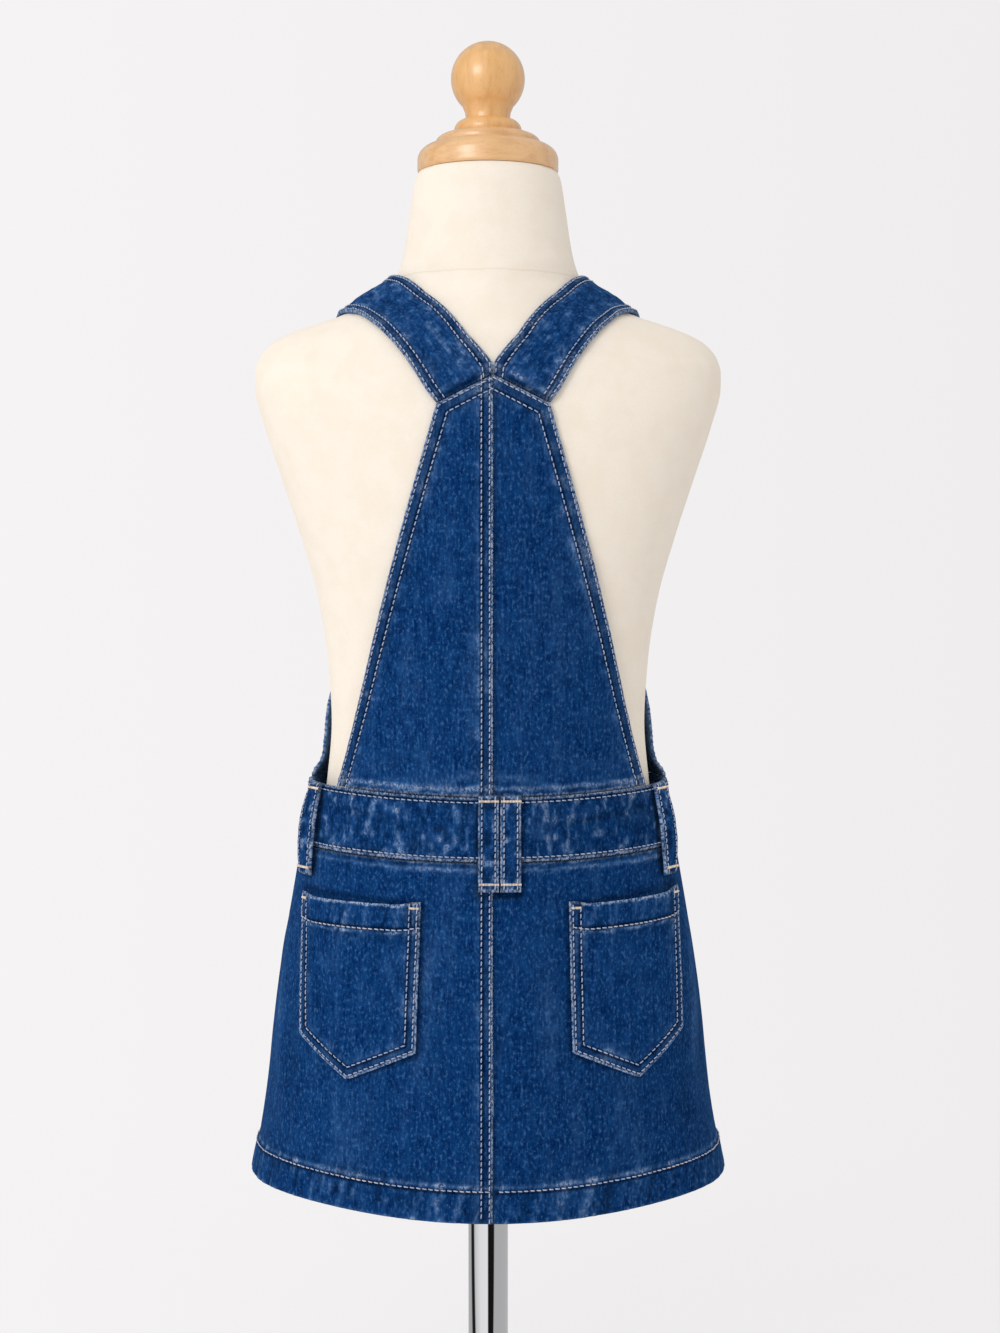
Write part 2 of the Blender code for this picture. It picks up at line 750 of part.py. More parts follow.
def build_stand(collection):
    """The pole under the form and the round plate that it stands in."""
    pole_foot = BASE_DEPTH + SEAM
    pole_top = FORM_FOOT - SEAM
    bpy.ops.mesh.primitive_cylinder_add(
        vertices=TURNED_STEPS,
        radius=POLE_RADIUS * MM,
        depth=(pole_top - pole_foot) * MM,
        location=(0.0, 0.0, 0.5 * (pole_top + pole_foot) * MM),
    )
    pole = bpy.context.object
    pole.name = "stand_pole"
    keep(pole, "chrome", collection)

    plate = [(0.0, BASE_DEPTH), (SOCKET_BORE, BASE_DEPTH), (SOCKET_BORE, SOCKET_HEIGHT)]
    plate += [(SOCKET_RADIUS - 1.5, SOCKET_HEIGHT), (SOCKET_RADIUS, SOCKET_HEIGHT - 1.5)]
    plate += [(SOCKET_RADIUS, BASE_DEPTH + 3.0), (SOCKET_RADIUS + 3.0, BASE_DEPTH)]
    plate += round_over((BASE_RADIUS - 3.0, BASE_DEPTH - 3.0), (3.0, 3.0), 90, 0, 3)
    plate += [(BASE_RADIUS, 0.0), (0.0, 0.0)]
    turned("stand_base", plate, "steel", collection, steps=48)


def main():
    for obj in list(bpy.data.objects):
        bpy.data.objects.remove(obj)
    collection = new_collection("Overall dress on a dress form")
    build_form(collection)
    build_cap(collection)
    build_stand(collection)
    build_skirt(collection)
    build_waistband(collection)
    build_back_bib(collection)
    build_front_bib(collection)
    build_straps(collection)
    build_buttons(collection)
    build_pockets(collection)
    build_loops(collection)


main()
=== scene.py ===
"""A child's denim overall dress on a cream dress form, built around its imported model.

It is laid out as a Blender add-on and is run as a script. Sizes in the tables are in millimetres
and +Z is up. The dress faces -Y, so its back is towards +Y, and the wearer's left is towards +X.
Each piece of cloth has its own flat measures, x across and y up, and is laid from them on the body
that it covers: the garment's rings, the form under a strap, or the line of a belt loop.
"""

import math
from collections import namedtuple
from functools import partial

import bpy
import numpy as np
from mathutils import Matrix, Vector


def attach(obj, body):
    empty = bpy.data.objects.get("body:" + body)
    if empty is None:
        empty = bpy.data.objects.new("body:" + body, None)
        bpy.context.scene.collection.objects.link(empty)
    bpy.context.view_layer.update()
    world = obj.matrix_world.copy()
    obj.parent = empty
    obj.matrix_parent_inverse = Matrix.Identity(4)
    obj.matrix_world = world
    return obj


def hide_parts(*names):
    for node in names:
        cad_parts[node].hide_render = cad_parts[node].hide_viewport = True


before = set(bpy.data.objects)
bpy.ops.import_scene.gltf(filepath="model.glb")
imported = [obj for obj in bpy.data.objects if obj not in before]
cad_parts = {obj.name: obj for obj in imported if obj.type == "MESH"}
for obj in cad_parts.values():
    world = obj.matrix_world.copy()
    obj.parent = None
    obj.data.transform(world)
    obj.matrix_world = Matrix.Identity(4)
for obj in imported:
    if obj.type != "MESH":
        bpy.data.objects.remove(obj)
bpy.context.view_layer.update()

bl_info = {
    "name": "Denim overall dress",
    "version": (1, 0, 0),
    "blender": (4, 5, 0),
    "location": "3D View > Sidebar > Overall dress",
    "description": "Builds a child's denim overall dress on a dress form with a beech cap",
    "category": "Add Mesh",
}

MM = 0.001

# Cloth
DENIM = 1.2
BAND_WALL = 2.4
STRAP_WALL = 2.4
LOOP_WALL = 2.0
SEAM = 0.3
SIDE_SEAM = 0.5
CLOTH_LIE = 2.2
BAND_PROUD = 0.5

# Levels, from the surface that the base plate stands on
HEM_LEVEL = 158.0
HEM_DEPTH = 19.0
BAND_BOTTOM = 367.3
BAND_TOP = 403.5
NECK_TOP = 782.5
NECK_SEAM = 717.0
FORM_FOOT = 216.0
FORM_FOOT_CURVE = 234.0
FORM_ROW_STEP = 3.0
FORM_COLUMNS = 176

# Back bib, its half widths as arcs from the centre-back seam
BACK_SEAM = -3.5
BIB_APEX_LEVEL = 651.0
BIB_CORNER_LEVEL = 634.0
BIB_CORNER = 33.3
BIB_FOOT = 101.0
FRONT_BIB_TOP = 615.0
BIB_DRAW = 3.0

# How far the level lines dip at the centres and rise again at the side seams
Bow = namedtuple("Bow", "level dip rise")
BOWS = tuple(map(Bow._make, (
    (HEM_LEVEL, -1.6, 6.6), (BAND_BOTTOM, -2.4, 4.4), (BAND_TOP, -1.2, 5.1), (460, 0, 0),
)))
BOW_REACH = 145.0
BOW_CENTRE = -3.0

# Straps
STRAP_WIDTH = 38.5
STRAP_LIE = 1.2
STRAP_OVER_BIB = 3.1
STRAP_RAMP = 22.0
STRAP_START = (17.0, 80.0, 644.0)
STRAP_RIDGE = (78.0, 0.0, 706.5)
STRAP_END = (58.0, -75.0, 588.0)
STRAP_BOW = 13.0
STRAP_TURN_IN = 14.0

# Buttons
BUTTON_RADIUS = 8.5
BUTTON_DEPTH = 3.2
BUTTON_SETBACK = 15.0
BUTTON_GAP = 0.5

# The button's face from its middle out to its rim, as shares of its radius and its depth
BUTTON_FACE = ((0.0, 0.8), (0.22, 0.84), (0.3, 0.72), (0.36, 0.7), (0.72, 0.74), (0.78, 0.78))

# Pockets, by arc from the centre-back seam and height: 1 is the wearer's left and -1 the right
Pocket = namedtuple("Pocket", "inner_top outer_top inner_foot point outer_foot")
POCKETS = {
    1: Pocket((42.2, 341.3), (130.5, 341.5), (45.2, 254.0), (88.5, 235.5), (126.0, 258.5)),
    -1: Pocket((44.6, 341.3), (130.5, 344.0), (46.5, 254.0), (89.0, 236.0), (127.0, 261.0)),
}
POCKET_SAG = 1.9

# Belt loops
LOOP_WIDTH = 12.2
LOOP_GAP = 0.9
PAIR_CENTRE = -7.2
PAIR_SPREAD = 12.9
PAIR_TOP = 403.5
PAIR_FOOT = 347.5
PAIR_BOW = 1.2
SIDE_LOOP_ARC_AT_TOP = 115.5
SIDE_LOOP_ARC_AT_FOOT = 123.0
SIDE_LOOP_TOP = 407.0
SIDE_LOOP_FOOT = 351.5
SIDE_LOOP_BOW = 3.6

# Stand
POLE_RADIUS = 12.5
BASE_RADIUS = 118.0
BASE_DEPTH = 8.0
SOCKET_RADIUS = 19.0
SOCKET_BORE = 12.9
SOCKET_HEIGHT = 34.0

# Wooden cap and finial
CAP_RADIUS = 43.7
CAP_SHOULDER = 790.5
CAP_STEP_LEVEL = 800.2
CAP_STEP_RADIUS = 32.4
CAP_STEP_SHOULDER = 801.5
CAP_SEAT = 806.6
CAP_SEAT_RADIUS = 22.0
RING_RADIUS = 21.0
RING_SHOULDER = 808.6
RING_TOP = 815.3
RING_TOP_RADIUS = 14.8
NECK_RADIUS = 13.8
NECK_LEVEL = 817.4
BALL_RADIUS = 22.9
BALL_LEVEL = 840.7
BALL_FOOT_ANGLE = -46.0

# How stitching and seams shape the cloth: a row of stitches draws a track down, an allowance under
# a seam lifts a ridge, and a turned edge steps down to the single cloth
TRACK_DEPTH = 0.34
TRACK_WIDTH = 0.95
RIDGE_RISE = 0.6
RIDGE_WIDTH = 1.7
FOLD_EASE = 0.7
RIM_WIDTH = 1.35
TACK_PITCH = 0.85
TACK_GAUGE = 0.95

# How tan a row's thread is and its gauge, in the hems and in the other seams
HEM_THREAD = (0.28, 0.98)
SEAM_THREAD = (0.06, 1.0)
NARROWEST_HEM = 10.0

# Grid lines over a rounded rim: their places in it, and the cloth's share of its thickness there
RIM_PLACES = (0.0, 0.12, 0.4, 1.0)
RIM_SHARES = (0.0, 0.475, 0.8, 1.0)
PAD_STEP = 0.9

# Corners sharper than this many degrees stay crisp
SHARP_TURN = 50.0
SHARP_COVER_TURN = 60.0

# Turns a left-hand place or direction into its right-hand one
MIRROR = np.array([-1.0, 1.0, 1.0])

Ring = namedtuple("Ring", "height half_width back front squareness")
ArmholePoint = namedtuple("ArmholePoint", "height half_arc")
Crease = namedtuple("Crease", "x y length width angle rise")
# An edge's dark is the painted shadow laid along it.
Edge = namedtuple(
    "Edge",
    "line fold rise rows pucker pitch wear ridge dark rim halo doubled",
    defaults=(0.0, 0.0, (), 0.12, 8.0, 0.2, 0.0, 0.0, 1.0, 0.0, 0.17),
)
Ripple = namedtuple("Ripple", "rise across along wear")
Tack = namedtuple("Tack", "start end")

FORM_RINGS = tuple(map(Ring._make, (
    (FORM_FOOT, 100, 62, 55, 2.2), (220, 109, 70, 62, 2.3), (232, 113.5, 76, 67, 2.3),
    (260, 114, 82, 71, 2.3), (293, 114, 85.5, 73.5, 2.3), (331, 111.5, 85, 76.5, 2.3),
    (368, 106, 79, 78, 2.3), (404, 101, 72, 78, 2.3), (443, 97.8, 67.5, 76.5, 2.3),
    (481, 100, 69, 75, 2.3), (518, 105.6, 73.5, 74, 2.3), (556, 116, 78, 74, 2.3),
    (593, 128, 80.5, 73.5, 2.3), (625, 138.5, 79.5, 71.5, 2.3), (650, 144.7, 75.5, 68, 2.2),
    (659, 144.8, 73, 66, 2.15), (668, 142.5, 69.5, 63.5, 1.9), (678, 134, 65.5, 60.5, 1.75),
    (687, 115, 61, 57.5, 1.57), (695, 91, 56.5, 54.5, 1.54), (705, 76.5, 52.5, 51.5, 1.54),
    (712, 64.5, 50, 49.5, 1.6), (717, 58, 48.8, 48.6, 1.8), (724, 54.8, 47.6, 47.5, 2),
    (734, 52.2, 46.5, 46.5, 2), (761, 48, 44.5, 44.5, 2), (779, 45, 43.5, 43.5, 2),
    (NECK_TOP, 43, 42, 42, 2),
)))

# The outer face of the cloth from the hem up to the small of the back, where it bridges the hollow
LOWER_GARMENT_RINGS = tuple(map(Ring._make, (
    (HEM_LEVEL, 148.8, 108, 106, 2.2), (181, 144.4, 105.5, 104, 2.2), (218, 138.4, 102, 100, 2.2),
    (256, 134.7, 99.5, 96.5, 2.2), (293, 130, 96.5, 93, 2.2), (331, 123.5, 92, 90, 2.25),
    (BAND_BOTTOM, 117, 86, 87, 2.3), (386, 114.5, 82.5, 85.5, 2.3),
    (BAND_TOP, 111.5, 79.5, 84, 2.3), (430, 106, 76.5, 82, 2.3), (460, 103.2, 75.5, 80, 2.3),
    (500, 105.6, 77, 78.5, 2.3), (530, 111.2, 79, 77.6, 2.3),
)))

# The front armhole edge, as arcs from the centre front, upward from the side seam
ARMHOLE = tuple(map(ArmholePoint._make, (
    (430, 142), (455, 128), (490, 103), (530, 82), (575, 69), (FRONT_BIB_TOP, 64),
)))

# Soft folds of the back, x as the arc from the centre back. angle is in degrees from level.
BACK_CREASES = tuple(map(Crease._make, (
    (150, 262, 46, 9, 84, 1.3), (136, 236, 34, 7, 78, -0.9), (166, 300, 40, 8, 96, -0.9),
    (-148, 270, 50, 8, 97, 1.2), (-161, 246, 30, 6, 104, -0.9), (-134, 214, 26, 8, 88, -0.8),
    (120, 350, 20, 6, 30, 0.6), (-120, 348, 22, 6, 150, 0.6), (34, 300, 60, 13, 92, 0.8),
    (-36, 286, 60, 12, 86, 0.7), (-86, 210, 40, 14, 80, 0.8), (78, 206, 34, 13, 96, 0.7),
    (-14, 414, 26, 5.5, 2, 0.9), (34, 413, 32, 5, 175, 0.8), (66, 420, 20, 5, 160, 0.5),
    (-66, 418, 22, 5, 20, 0.6), (12, 470, 40, 8, 96, 0.4), (-40, 500, 44, 8, 80, 0.4),
    (80, 390.5, 26, 2, 6, -1.2), (86, 394.6, 24, 2.4, 9, 0.8), (98, 378, 15, 2.2, 150, -0.9),
    (40, 384, 18, 2.6, 172, 0.5), (-66, 389, 27, 2, 175, -1.2), (-60, 393.4, 25, 2.4, 175, 0.7),
    (-97, 393, 14, 2.2, 26, -0.9), (-38, 380, 16, 2.4, 12, 0.5), (-20, 409.3, 16, 1.7, 8, -1.1),
    (-18, 413.6, 15, 2, 11, 0.8), (13, 410.6, 13, 1.7, 164, -0.9), (15, 415, 15, 2.2, 166, 0.7),
)))

# Soft folds of the front, x as the arc from the centre front, towards the wearer's right
FRONT_CREASES = tuple(map(Crease._make, (
    (-96, 250, 60, 12, 94, 2), (-132, 222, 46, 10, 84, -1.6), (-52, 228, 44, 14, 86, -1.5),
    (12, 246, 62, 15, 93, 1.9), (66, 214, 40, 12, 88, -1.4), (104, 262, 58, 11, 84, 1.9),
    (150, 232, 40, 10, 98, -1.3), (-40, 340, 26, 6, 20, 0.9), (46, 344, 30, 6, 164, 0.9),
    (0, 352, 40, 5, 2, 0.7), (-62, 424, 30, 6, 28, 0.9), (58, 420, 32, 6, 150, 0.9),
    (-8, 416, 34, 6, 178, 0.9), (-30, 560, 30, 7, 70, 0.6), (28, 548, 30, 7, 108, 0.6),
)))


# ---- measures


def slopes_through(heights, values):
    """The slope at each row, zero where the values turn, so that no curve bulges past a row."""
    rises = np.diff(values) / np.diff(heights)
    slopes = [rises[0]]
    for before, after in zip(rises, rises[1:]):
        turns = before * after <= 0.0
        slopes.append(0.0 if turns else 2.0 * before * after / (before + after))
    slopes.append(rises[-1])
    return np.array(slopes)


def smooth_values(heights, values, height):
    """The values at these heights on the smooth curve through the rows."""
    heights = np.asarray(heights, float)
    values = np.asarray(values, float)
    slopes = slopes_through(heights, values)
    height = np.clip(height, heights[0], heights[-1])
    row = np.clip(np.searchsorted(heights, height, side="right") - 1, 0, len(heights) - 2)
    span = heights[row + 1] - heights[row]
    t = (height - heights[row]) / span
    rise = values[row + 1] - values[row]
    start = slopes[row] * span
    end = slopes[row + 1] * span
    bend = 3.0 * rise - 2.0 * start - end
    return values[row] + t * start + t * t * bend + t**3 * (start + end - 2.0 * rise)


def unit(vectors):
    """Vectors brought to length 1."""
    return vectors / np.maximum(np.linalg.norm(vectors, axis=-1, keepdims=True), 1e-9)


def smooth_step(low, high, value):
    """0 at low and 1 at high, whichever is the larger."""
    share = np.clip((value - low) / (high - low), 0.0, 1.0)
    return share * share * (3.0 - 2.0 * share)


def bell(value, middle, width):
    """1 at the middle, falling away to each side within about this width."""
    return np.exp(-(((value - middle) / width) ** 2))


class Rings:
    """A surface given by horizontal rings, read by height and by arc from its centre back."""

    LEVEL_STEP = 0.5
    TURNS = 720
    SHARES = 600
    SLOPE_REACH = 3.0
    GRADIENT_REACH = 0.5
    HALVINGS = 40
    SEAT_DEPTH = 25.0
    SEAT_REACH = 60.0

    def __init__(self, rows):
        columns = list(zip(*rows))
        self.low = rows[0].height
        self.levels = np.arange(self.low, rows[-1].height + self.LEVEL_STEP, self.LEVEL_STEP)
        values = [smooth_values(columns[0], column, self.levels) for column in columns[1:]]
        self.half_width, self.back, self.front, self.squareness = values
        turn = np.linspace(0.0, math.pi, self.TURNS + 1)
        power = (2.0 / self.squareness)[:, None]
        depth = np.where(turn <= math.pi / 2, self.back[:, None], -self.front[:, None])
        x = self.half_width[:, None] * np.sin(turn).clip(0.0) ** power
        y = depth * np.abs(np.cos(turn)) ** power
        steps = np.hypot(np.diff(x, axis=1), np.diff(y, axis=1))
        arcs = np.concatenate([np.zeros((len(x), 1)), np.cumsum(steps, axis=1)], axis=1)
        self.half = arcs[:, -1]
        self.side = arcs[:, self.TURNS // 2]
        shares = np.linspace(0.0, 1.0, self.SHARES + 1)
        self.x = np.array([np.interp(shares * a[-1], a, row) for a, row in zip(arcs, x)])
        self.y = np.array([np.interp(shares * a[-1], a, row) for a, row in zip(arcs, y)])

    def side_arc(self, height):
        """The arc from the centre back to the side."""
        return np.interp(height, self.levels, self.side)

    def half_girth(self, height):
        """The arc from the centre back to the centre front."""
        return np.interp(height, self.levels, self.half)

    def on_level(self, level, arc):
        """x and y this far round the ring of a level."""
        half = self.half[level]
        arc = (arc + half) % (2.0 * half) - half
        share = np.abs(arc) / half * self.SHARES
        first = np.clip(share.astype(int), 0, self.SHARES - 1)
        part = share - first
        x = self.x[level, first] * (1.0 - part) + self.x[level, first + 1] * part
        y = self.y[level, first] * (1.0 - part) + self.y[level, first + 1] * part
        return np.copysign(x, arc), y

    def point(self, height, arc):
        """Points this far round from the centre back, towards the wearer's left when positive."""
        height, arc = np.broadcast_arrays(np.asarray(height, float), np.asarray(arc, float))
        row = np.clip((height - self.low) / self.LEVEL_STEP, 0.0, len(self.levels) - 1.001)
        level = row.astype(int)
        part = row - level
        x0, y0 = self.on_level(level, arc)
        x1, y1 = self.on_level(level + 1, arc)
        return np.stack([x0 + part * (x1 - x0), y0 + part * (y1 - y0), height], axis=-1)

    def normal(self, height, arc):
        """The outward direction this far round, from points a few millimetres to each side."""
        reach = self.SLOPE_REACH
        low = np.maximum(np.asarray(height, float) - reach, self.levels[0])
        high = np.minimum(np.asarray(height, float) + reach, self.levels[-1])
        upward = self.point(high, arc) - self.point(low, arc)
        along = self.point(height, arc + reach) - self.point(height, arc - reach)
        return unit(np.cross(upward, along))

    def level_of(self, points):
        """Below 0 inside the surface and above 0 outside it."""
        x, y, height = points[..., 0], points[..., 1], points[..., 2]
        measures = (self.half_width, self.back, self.front, self.squareness)
        measures = (np.interp(height, self.levels, measure) for measure in measures)
        half_width, back, front, squareness = measures
        depth = np.where(y >= 0.0, back, front)
        return (np.abs(x) / half_width) ** squareness + (np.abs(y) / depth) ** squareness - 1.0

    def hit(self, inside, direction, reach):
        """Where rays from points inside leave the surface."""
        near = np.zeros(inside.shape[:-1])
        far = np.full(inside.shape[:-1], float(reach))
        for _ in range(self.HALVINGS):
            middle = 0.5 * (near + far)
            within = self.level_of(inside + middle[..., None] * direction) < 0.0
            near = np.where(within, middle, near)
            far = np.where(within, far, middle)
        return inside + near[..., None] * direction

    def gradient(self, points):
        """The direction straight out of the surface."""
        steps = self.GRADIENT_REACH * np.eye(3)
        slopes = [self.level_of(points + step) - self.level_of(points - step) for step in steps]
        return unit(np.stack(slopes, axis=-1))

    def seated(self, points, out):
        """Points near the surface, moved along its normal until they stand this far out."""
        normal = self.gradient(points)
        seat = self.hit(points - self.SEAT_DEPTH * normal, normal, self.SEAT_REACH)
        return seat + np.asarray(out)[..., None] * self.gradient(seat)


def grown(ring, by):
    """A ring that stands this far off another all round."""
    return Ring(ring.height, ring.half_width + by, ring.back + by, ring.front + by, ring.squareness)


def garment_rows():
    """The cut rows below, and above them the form's own rows grown by the cloth on them."""
    first_height = LOWER_GARMENT_RINGS[-1].height + 10.0
    upper = [grown(row, CLOTH_LIE) for row in FORM_RINGS if row.height > first_height]
    return list(LOWER_GARMENT_RINGS) + upper


class Unevenness:
    """Smooth hand-made irregularity between -1 and 1, the same on every run."""

    SIZE = 128

    def __init__(self, seed):
        self.lattice = np.random.RandomState(seed).rand(self.SIZE, self.SIZE) * 2.0 - 1.0

    def __call__(self, x, y):
        x, y = np.broadcast_arrays(np.asarray(x, float), np.asarray(y, float))
        column = np.floor(x).astype(int)
        row = np.floor(y).astype(int)
        u = smooth_step(0.0, 1.0, x - column)
        v = smooth_step(0.0, 1.0, y - row)
        column %= self.SIZE
        row %= self.SIZE
        right = (column + 1) % self.SIZE
        above = (row + 1) % self.SIZE
        low = self.lattice[row, column] * (1.0 - u) + self.lattice[row, right] * u
        high = self.lattice[above, column] * (1.0 - u) + self.lattice[above, right] * u
        return low * (1.0 - v) + high * v


FORM = Rings(FORM_RINGS)
GARMENT = Rings(garment_rows())
UNEVEN = Unevenness(11)


# ---- cloth


def nearest(line, x, y):
    """Each point's distance to a line of points in flat measures, and how far along it that is."""
    best = np.full(np.shape(x), 1e9)
    along = np.zeros(np.shape(x))
    travelled = 0.0
    for (x0, y0), (x1, y1) in zip(line, line[1:]):
        dx, dy = x1 - x0, y1 - y0
        length = math.hypot(dx, dy)
        share = np.clip(((x - x0) * dx + (y - y0) * dy) / (length * length), 0.0, 1.0)
        distance = np.hypot(x - x0 - share * dx, y - y0 - share * dy)
        closer = distance < best
        best = np.where(closer, distance, best)
        along = np.where(closer, travelled + share * length, along)
        travelled += length
    return best, along


def moved_in(line, by):
    """A line of points moved sideways to its left by this much, with mitred corners."""
    line = np.asarray(line, float)
    sides = unit(np.diff(line, axis=0))
    normals = np.stack([-sides[:, 1], sides[:, 0]], axis=1)
    before = np.concatenate([normals[:1], normals])
    after = np.concatenate([normals, normals[-1:]])
    mitre = unit(before + after)
    reach = by / np.maximum((mitre * before).sum(axis=1), 0.3)
    return line + mitre * reach[:, None]


def creases(table, x, y):
    """The height of the soft folds at each point. A fold wanders a little and fades at its ends."""
    total = np.zeros(np.shape(x))
    for number, crease in enumerate(table):
        turn = math.radians(crease.angle)
        dx, dy = x - crease.x, y - crease.y
        along = math.cos(turn) * dx + math.sin(turn) * dy
        across = math.cos(turn) * dy - math.sin(turn) * dx
        across = across + 0.35 * crease.width * UNEVEN(along / 17.0 + 31.0 * number, 5.0)
        faded = (across / crease.width) ** 2 + (along / crease.length) ** 2
        total += crease.rise * np.exp(-faded)
    return total


class Surface:
    """What the folds and edges of a piece of cloth do to each of its points.

    body is how far the cloth moves and added what its outer face gains, in millimetres outward.
    wear is how rubbed it is and shade the painted shade laid on it, from 0 to 1. Every ripple
    and edge reads the unevenness in a place of its own.
    """

    def __init__(self, cloth, x, y):
        folds = creases(cloth.folds, x, y)
        self.body = folds + 0.25 * UNEVEN(x / 23.0 + cloth.seed, y / 31.0)
        self.added = np.zeros(np.shape(x))
        # Fold crests are rubbed pale, partly as painted highlight, and fold hollows get painted
        # shade.
        self.wear = cloth.wear + 0.16 * np.clip(folds, 0.0, 2.0)
        # Painted shade, deeper towards the wearer's right, away from the key light.
        painted_shade_to_right = smooth_step(25.0, -45.0, x)
        self.shade = 0.32 * np.clip(-folds, 0.0, 2.0) + cloth.deep * painted_shade_to_right
        for number, ripple in enumerate(cloth.ripples):
            self.swell(ripple, x, y, 9.7 * number + 5.3 * cloth.seed)
        for number, edge in enumerate(cloth.edges):
            distance, along = nearest(edge.line, x, y)
            self.finish_edge(edge, distance, along, 17.3 * number + 7.1 * cloth.seed)
        self.wear = np.clip(self.wear, 0.0, 1.0)
        self.shade = np.clip(self.shade, 0.0, 1.0)

    def rub(self, by):
        self.wear = self.wear + by

    def darken(self, to):
        self.shade = np.maximum(self.shade, to)

    def swell(self, ripple, x, y, place):
        """Ripples, rubbed on top, with painted shade between them."""
        wave = UNEVEN(x / ripple.across + place, y / ripple.along + 2.0 * place)
        self.body = self.body + ripple.rise * wave
        self.rub(ripple.wear * smooth_step(0.1, 0.75, wave))
        self.darken(1.4 * ripple.wear * smooth_step(0.1, 0.8, -wave))

    def finish_edge(self, edge, distance, along, place):
        """All that an edge does, from the puckers beside it to its own rubbed rim."""
        fold = max(edge.fold, 3.0)
        slanted = along + 0.3 * distance
        wave = UNEVEN(slanted / edge.pitch + place, distance / (2.2 * fold) + place)
        fine = UNEVEN(slanted / (0.4 * edge.pitch) + 3.0 + place, distance / fold + 2.0)
        wave = 0.75 * wave + 0.45 * fine
        grit = UNEVEN(along / 1.3 + place, distance / 1.1 + place)
        near = bell(np.maximum(distance - 0.8 * fold, 0.0), 0.0, 0.6 * fold)
        self.body = self.body + edge.pucker * wave * near
        # Pucker crests are rubbed pale, and their hollows get painted shade.
        strong = min(1.0, edge.pucker / 0.3) * near
        self.rub(0.3 * edge.wear * smooth_step(0.05, 0.7, wave) * strong)
        self.darken(0.7 * smooth_step(0.1, 0.7, -wave) * strong)
        if edge.fold:
            self.turn_under(edge, distance)
        # A ridge over an allowance is rubbed pale, partly as a painted highlight on it.
        if edge.ridge:
            lift = bell(distance - edge.ridge, 0.8 * fine, RIDGE_WIDTH)
            self.added = self.added + RIDGE_RISE * lift * (0.8 + 0.4 * wave)
            patchy = np.clip(0.95 + 0.35 * wave + 0.35 * grit, 0.1, 1.6)
            self.rub(0.6 * edge.wear * lift * patchy)
        for row in edge.rows:
            track = bell(distance, row, TRACK_WIDTH)
            self.added = self.added - TRACK_DEPTH * track
            # The track is painted dark, as shade in its groove under the thread.
            self.darken(0.8 * track)
            # A row set in from the edge also paints shade on the cloth beside it, on the edge's
            # side.
            if row > 2.7:
                self.darken(bell(distance - row, -1.0, 1.0))
        if len(edge.rows) > 1:
            self.rub_rows(edge, distance, wave)
        # A halo is a rubbed line past a turned edge, with painted shade beyond it.
        if edge.halo:
            beyond = distance - edge.fold
            self.rub(edge.halo * bell(beyond, 1.0, 0.9) * (0.9 + 0.3 * wave))
            self.darken(0.6 * edge.halo * bell(beyond, 3.3, 1.3))
        rim = RIM_WIDTH + 0.55 * fine
        rubbed = smooth_step(rim + 0.9, rim - 0.9, distance)
        rubbed = rubbed * np.clip(0.95 + 0.3 * grit, 0.0, 1.4)
        self.rub(edge.rim * edge.wear * rubbed)
        # Painted shadow along an edge where another piece lies over the cloth or meets it.
        self.darken(edge.dark * bell(distance, 0.0, 1.6 if edge.fold or edge.ridge else 2.3))

    def turn_under(self, edge, distance):
        """A turned edge's step, or the dip where the edge lies under another piece, with painted
        shade.
        """
        in_fold = smooth_step(edge.fold + FOLD_EASE, edge.fold - FOLD_EASE, distance)
        if edge.rise < 0.0:
            self.added = self.added + edge.rise * in_fold
            self.darken(0.75 * edge.dark * in_fold)
        else:
            self.added = np.maximum(self.added, edge.rise * in_fold)

    def rub_rows(self, edge, distance, wave):
        """Greys the doubled cloth between two rows and paints shade there. Past the last one it
        rises, and rubs.
        """
        past = distance - edge.rows[-1]
        between_rows = smooth_step(-0.3, -1.1, past) * smooth_step(1.2, 2.6, distance)
        rising = smooth_step(0.5, 1.7, past) * np.exp(-np.maximum(past - 1.7, 0.0) / 2.2)
        self.rub(edge.doubled * between_rows)
        self.rub(0.2 * edge.wear * rising * (1.0 + 0.4 * wave))
        self.darken(2.5 * edge.doubled * between_rows)


# deep is how much painted shade the cloth gets towards the wearer's right, away from the key light.
Cut = namedtuple(
    "Cut",
    "name lay edges wall face folds ripples tacks wear deep seed",
    defaults=(DENIM, 0.0, (), (), (), 0.0, 0.0, 0),
)


class Cloth(Cut):
    """One cut piece: where it lies, its edges and their stitching, and the folds that cross it."""

    def outer(self, x, y):
        """Points and normals of the outer face."""
        points, normals = self.lay(x, y)
        surface = Surface(self, x, y)
        return points + normals * (self.face + surface.body + surface.added)[..., None], normals

    def rows(self):
        """Every line of stitches in flat measures, how tan it is and its thread's gauge."""
        lines = []
        for edge in self.edges:
            thread = HEM_THREAD if edge.fold > NARROWEST_HEM else SEAM_THREAD
            lines += [(moved_in(edge.line, row), *thread) for row in edge.rows]
        return lines


def finer(first, last, step, rim, pads=(0.0, 0.0)):
    """Distances from first to last: close at the rounded rims and in the pads beside them."""
    length = last - first
    lead = [place * rim for place in RIM_PLACES]
    start = rim + PAD_STEP
    low, high = (lead + list(np.arange(start, max(pad, start), PAD_STEP)) for pad in pads)
    middle = length - low[-1] - high[-1]
    count = max(1, round(middle / step))
    inside = [low[-1] + middle * n / count for n in range(1, count)]
    return np.array([first + d for d in low + inside + [length - d for d in high[::-1]]])


def rim_profile(count):
    """How much of its thickness the cloth has on each grid line, from a rim to the other."""
    profile = np.ones(count)
    for step, share in enumerate(RIM_SHARES):
        profile[step] = min(profile[step], share)
        profile[-1 - step] = min(profile[-1 - step], share)
    return profile


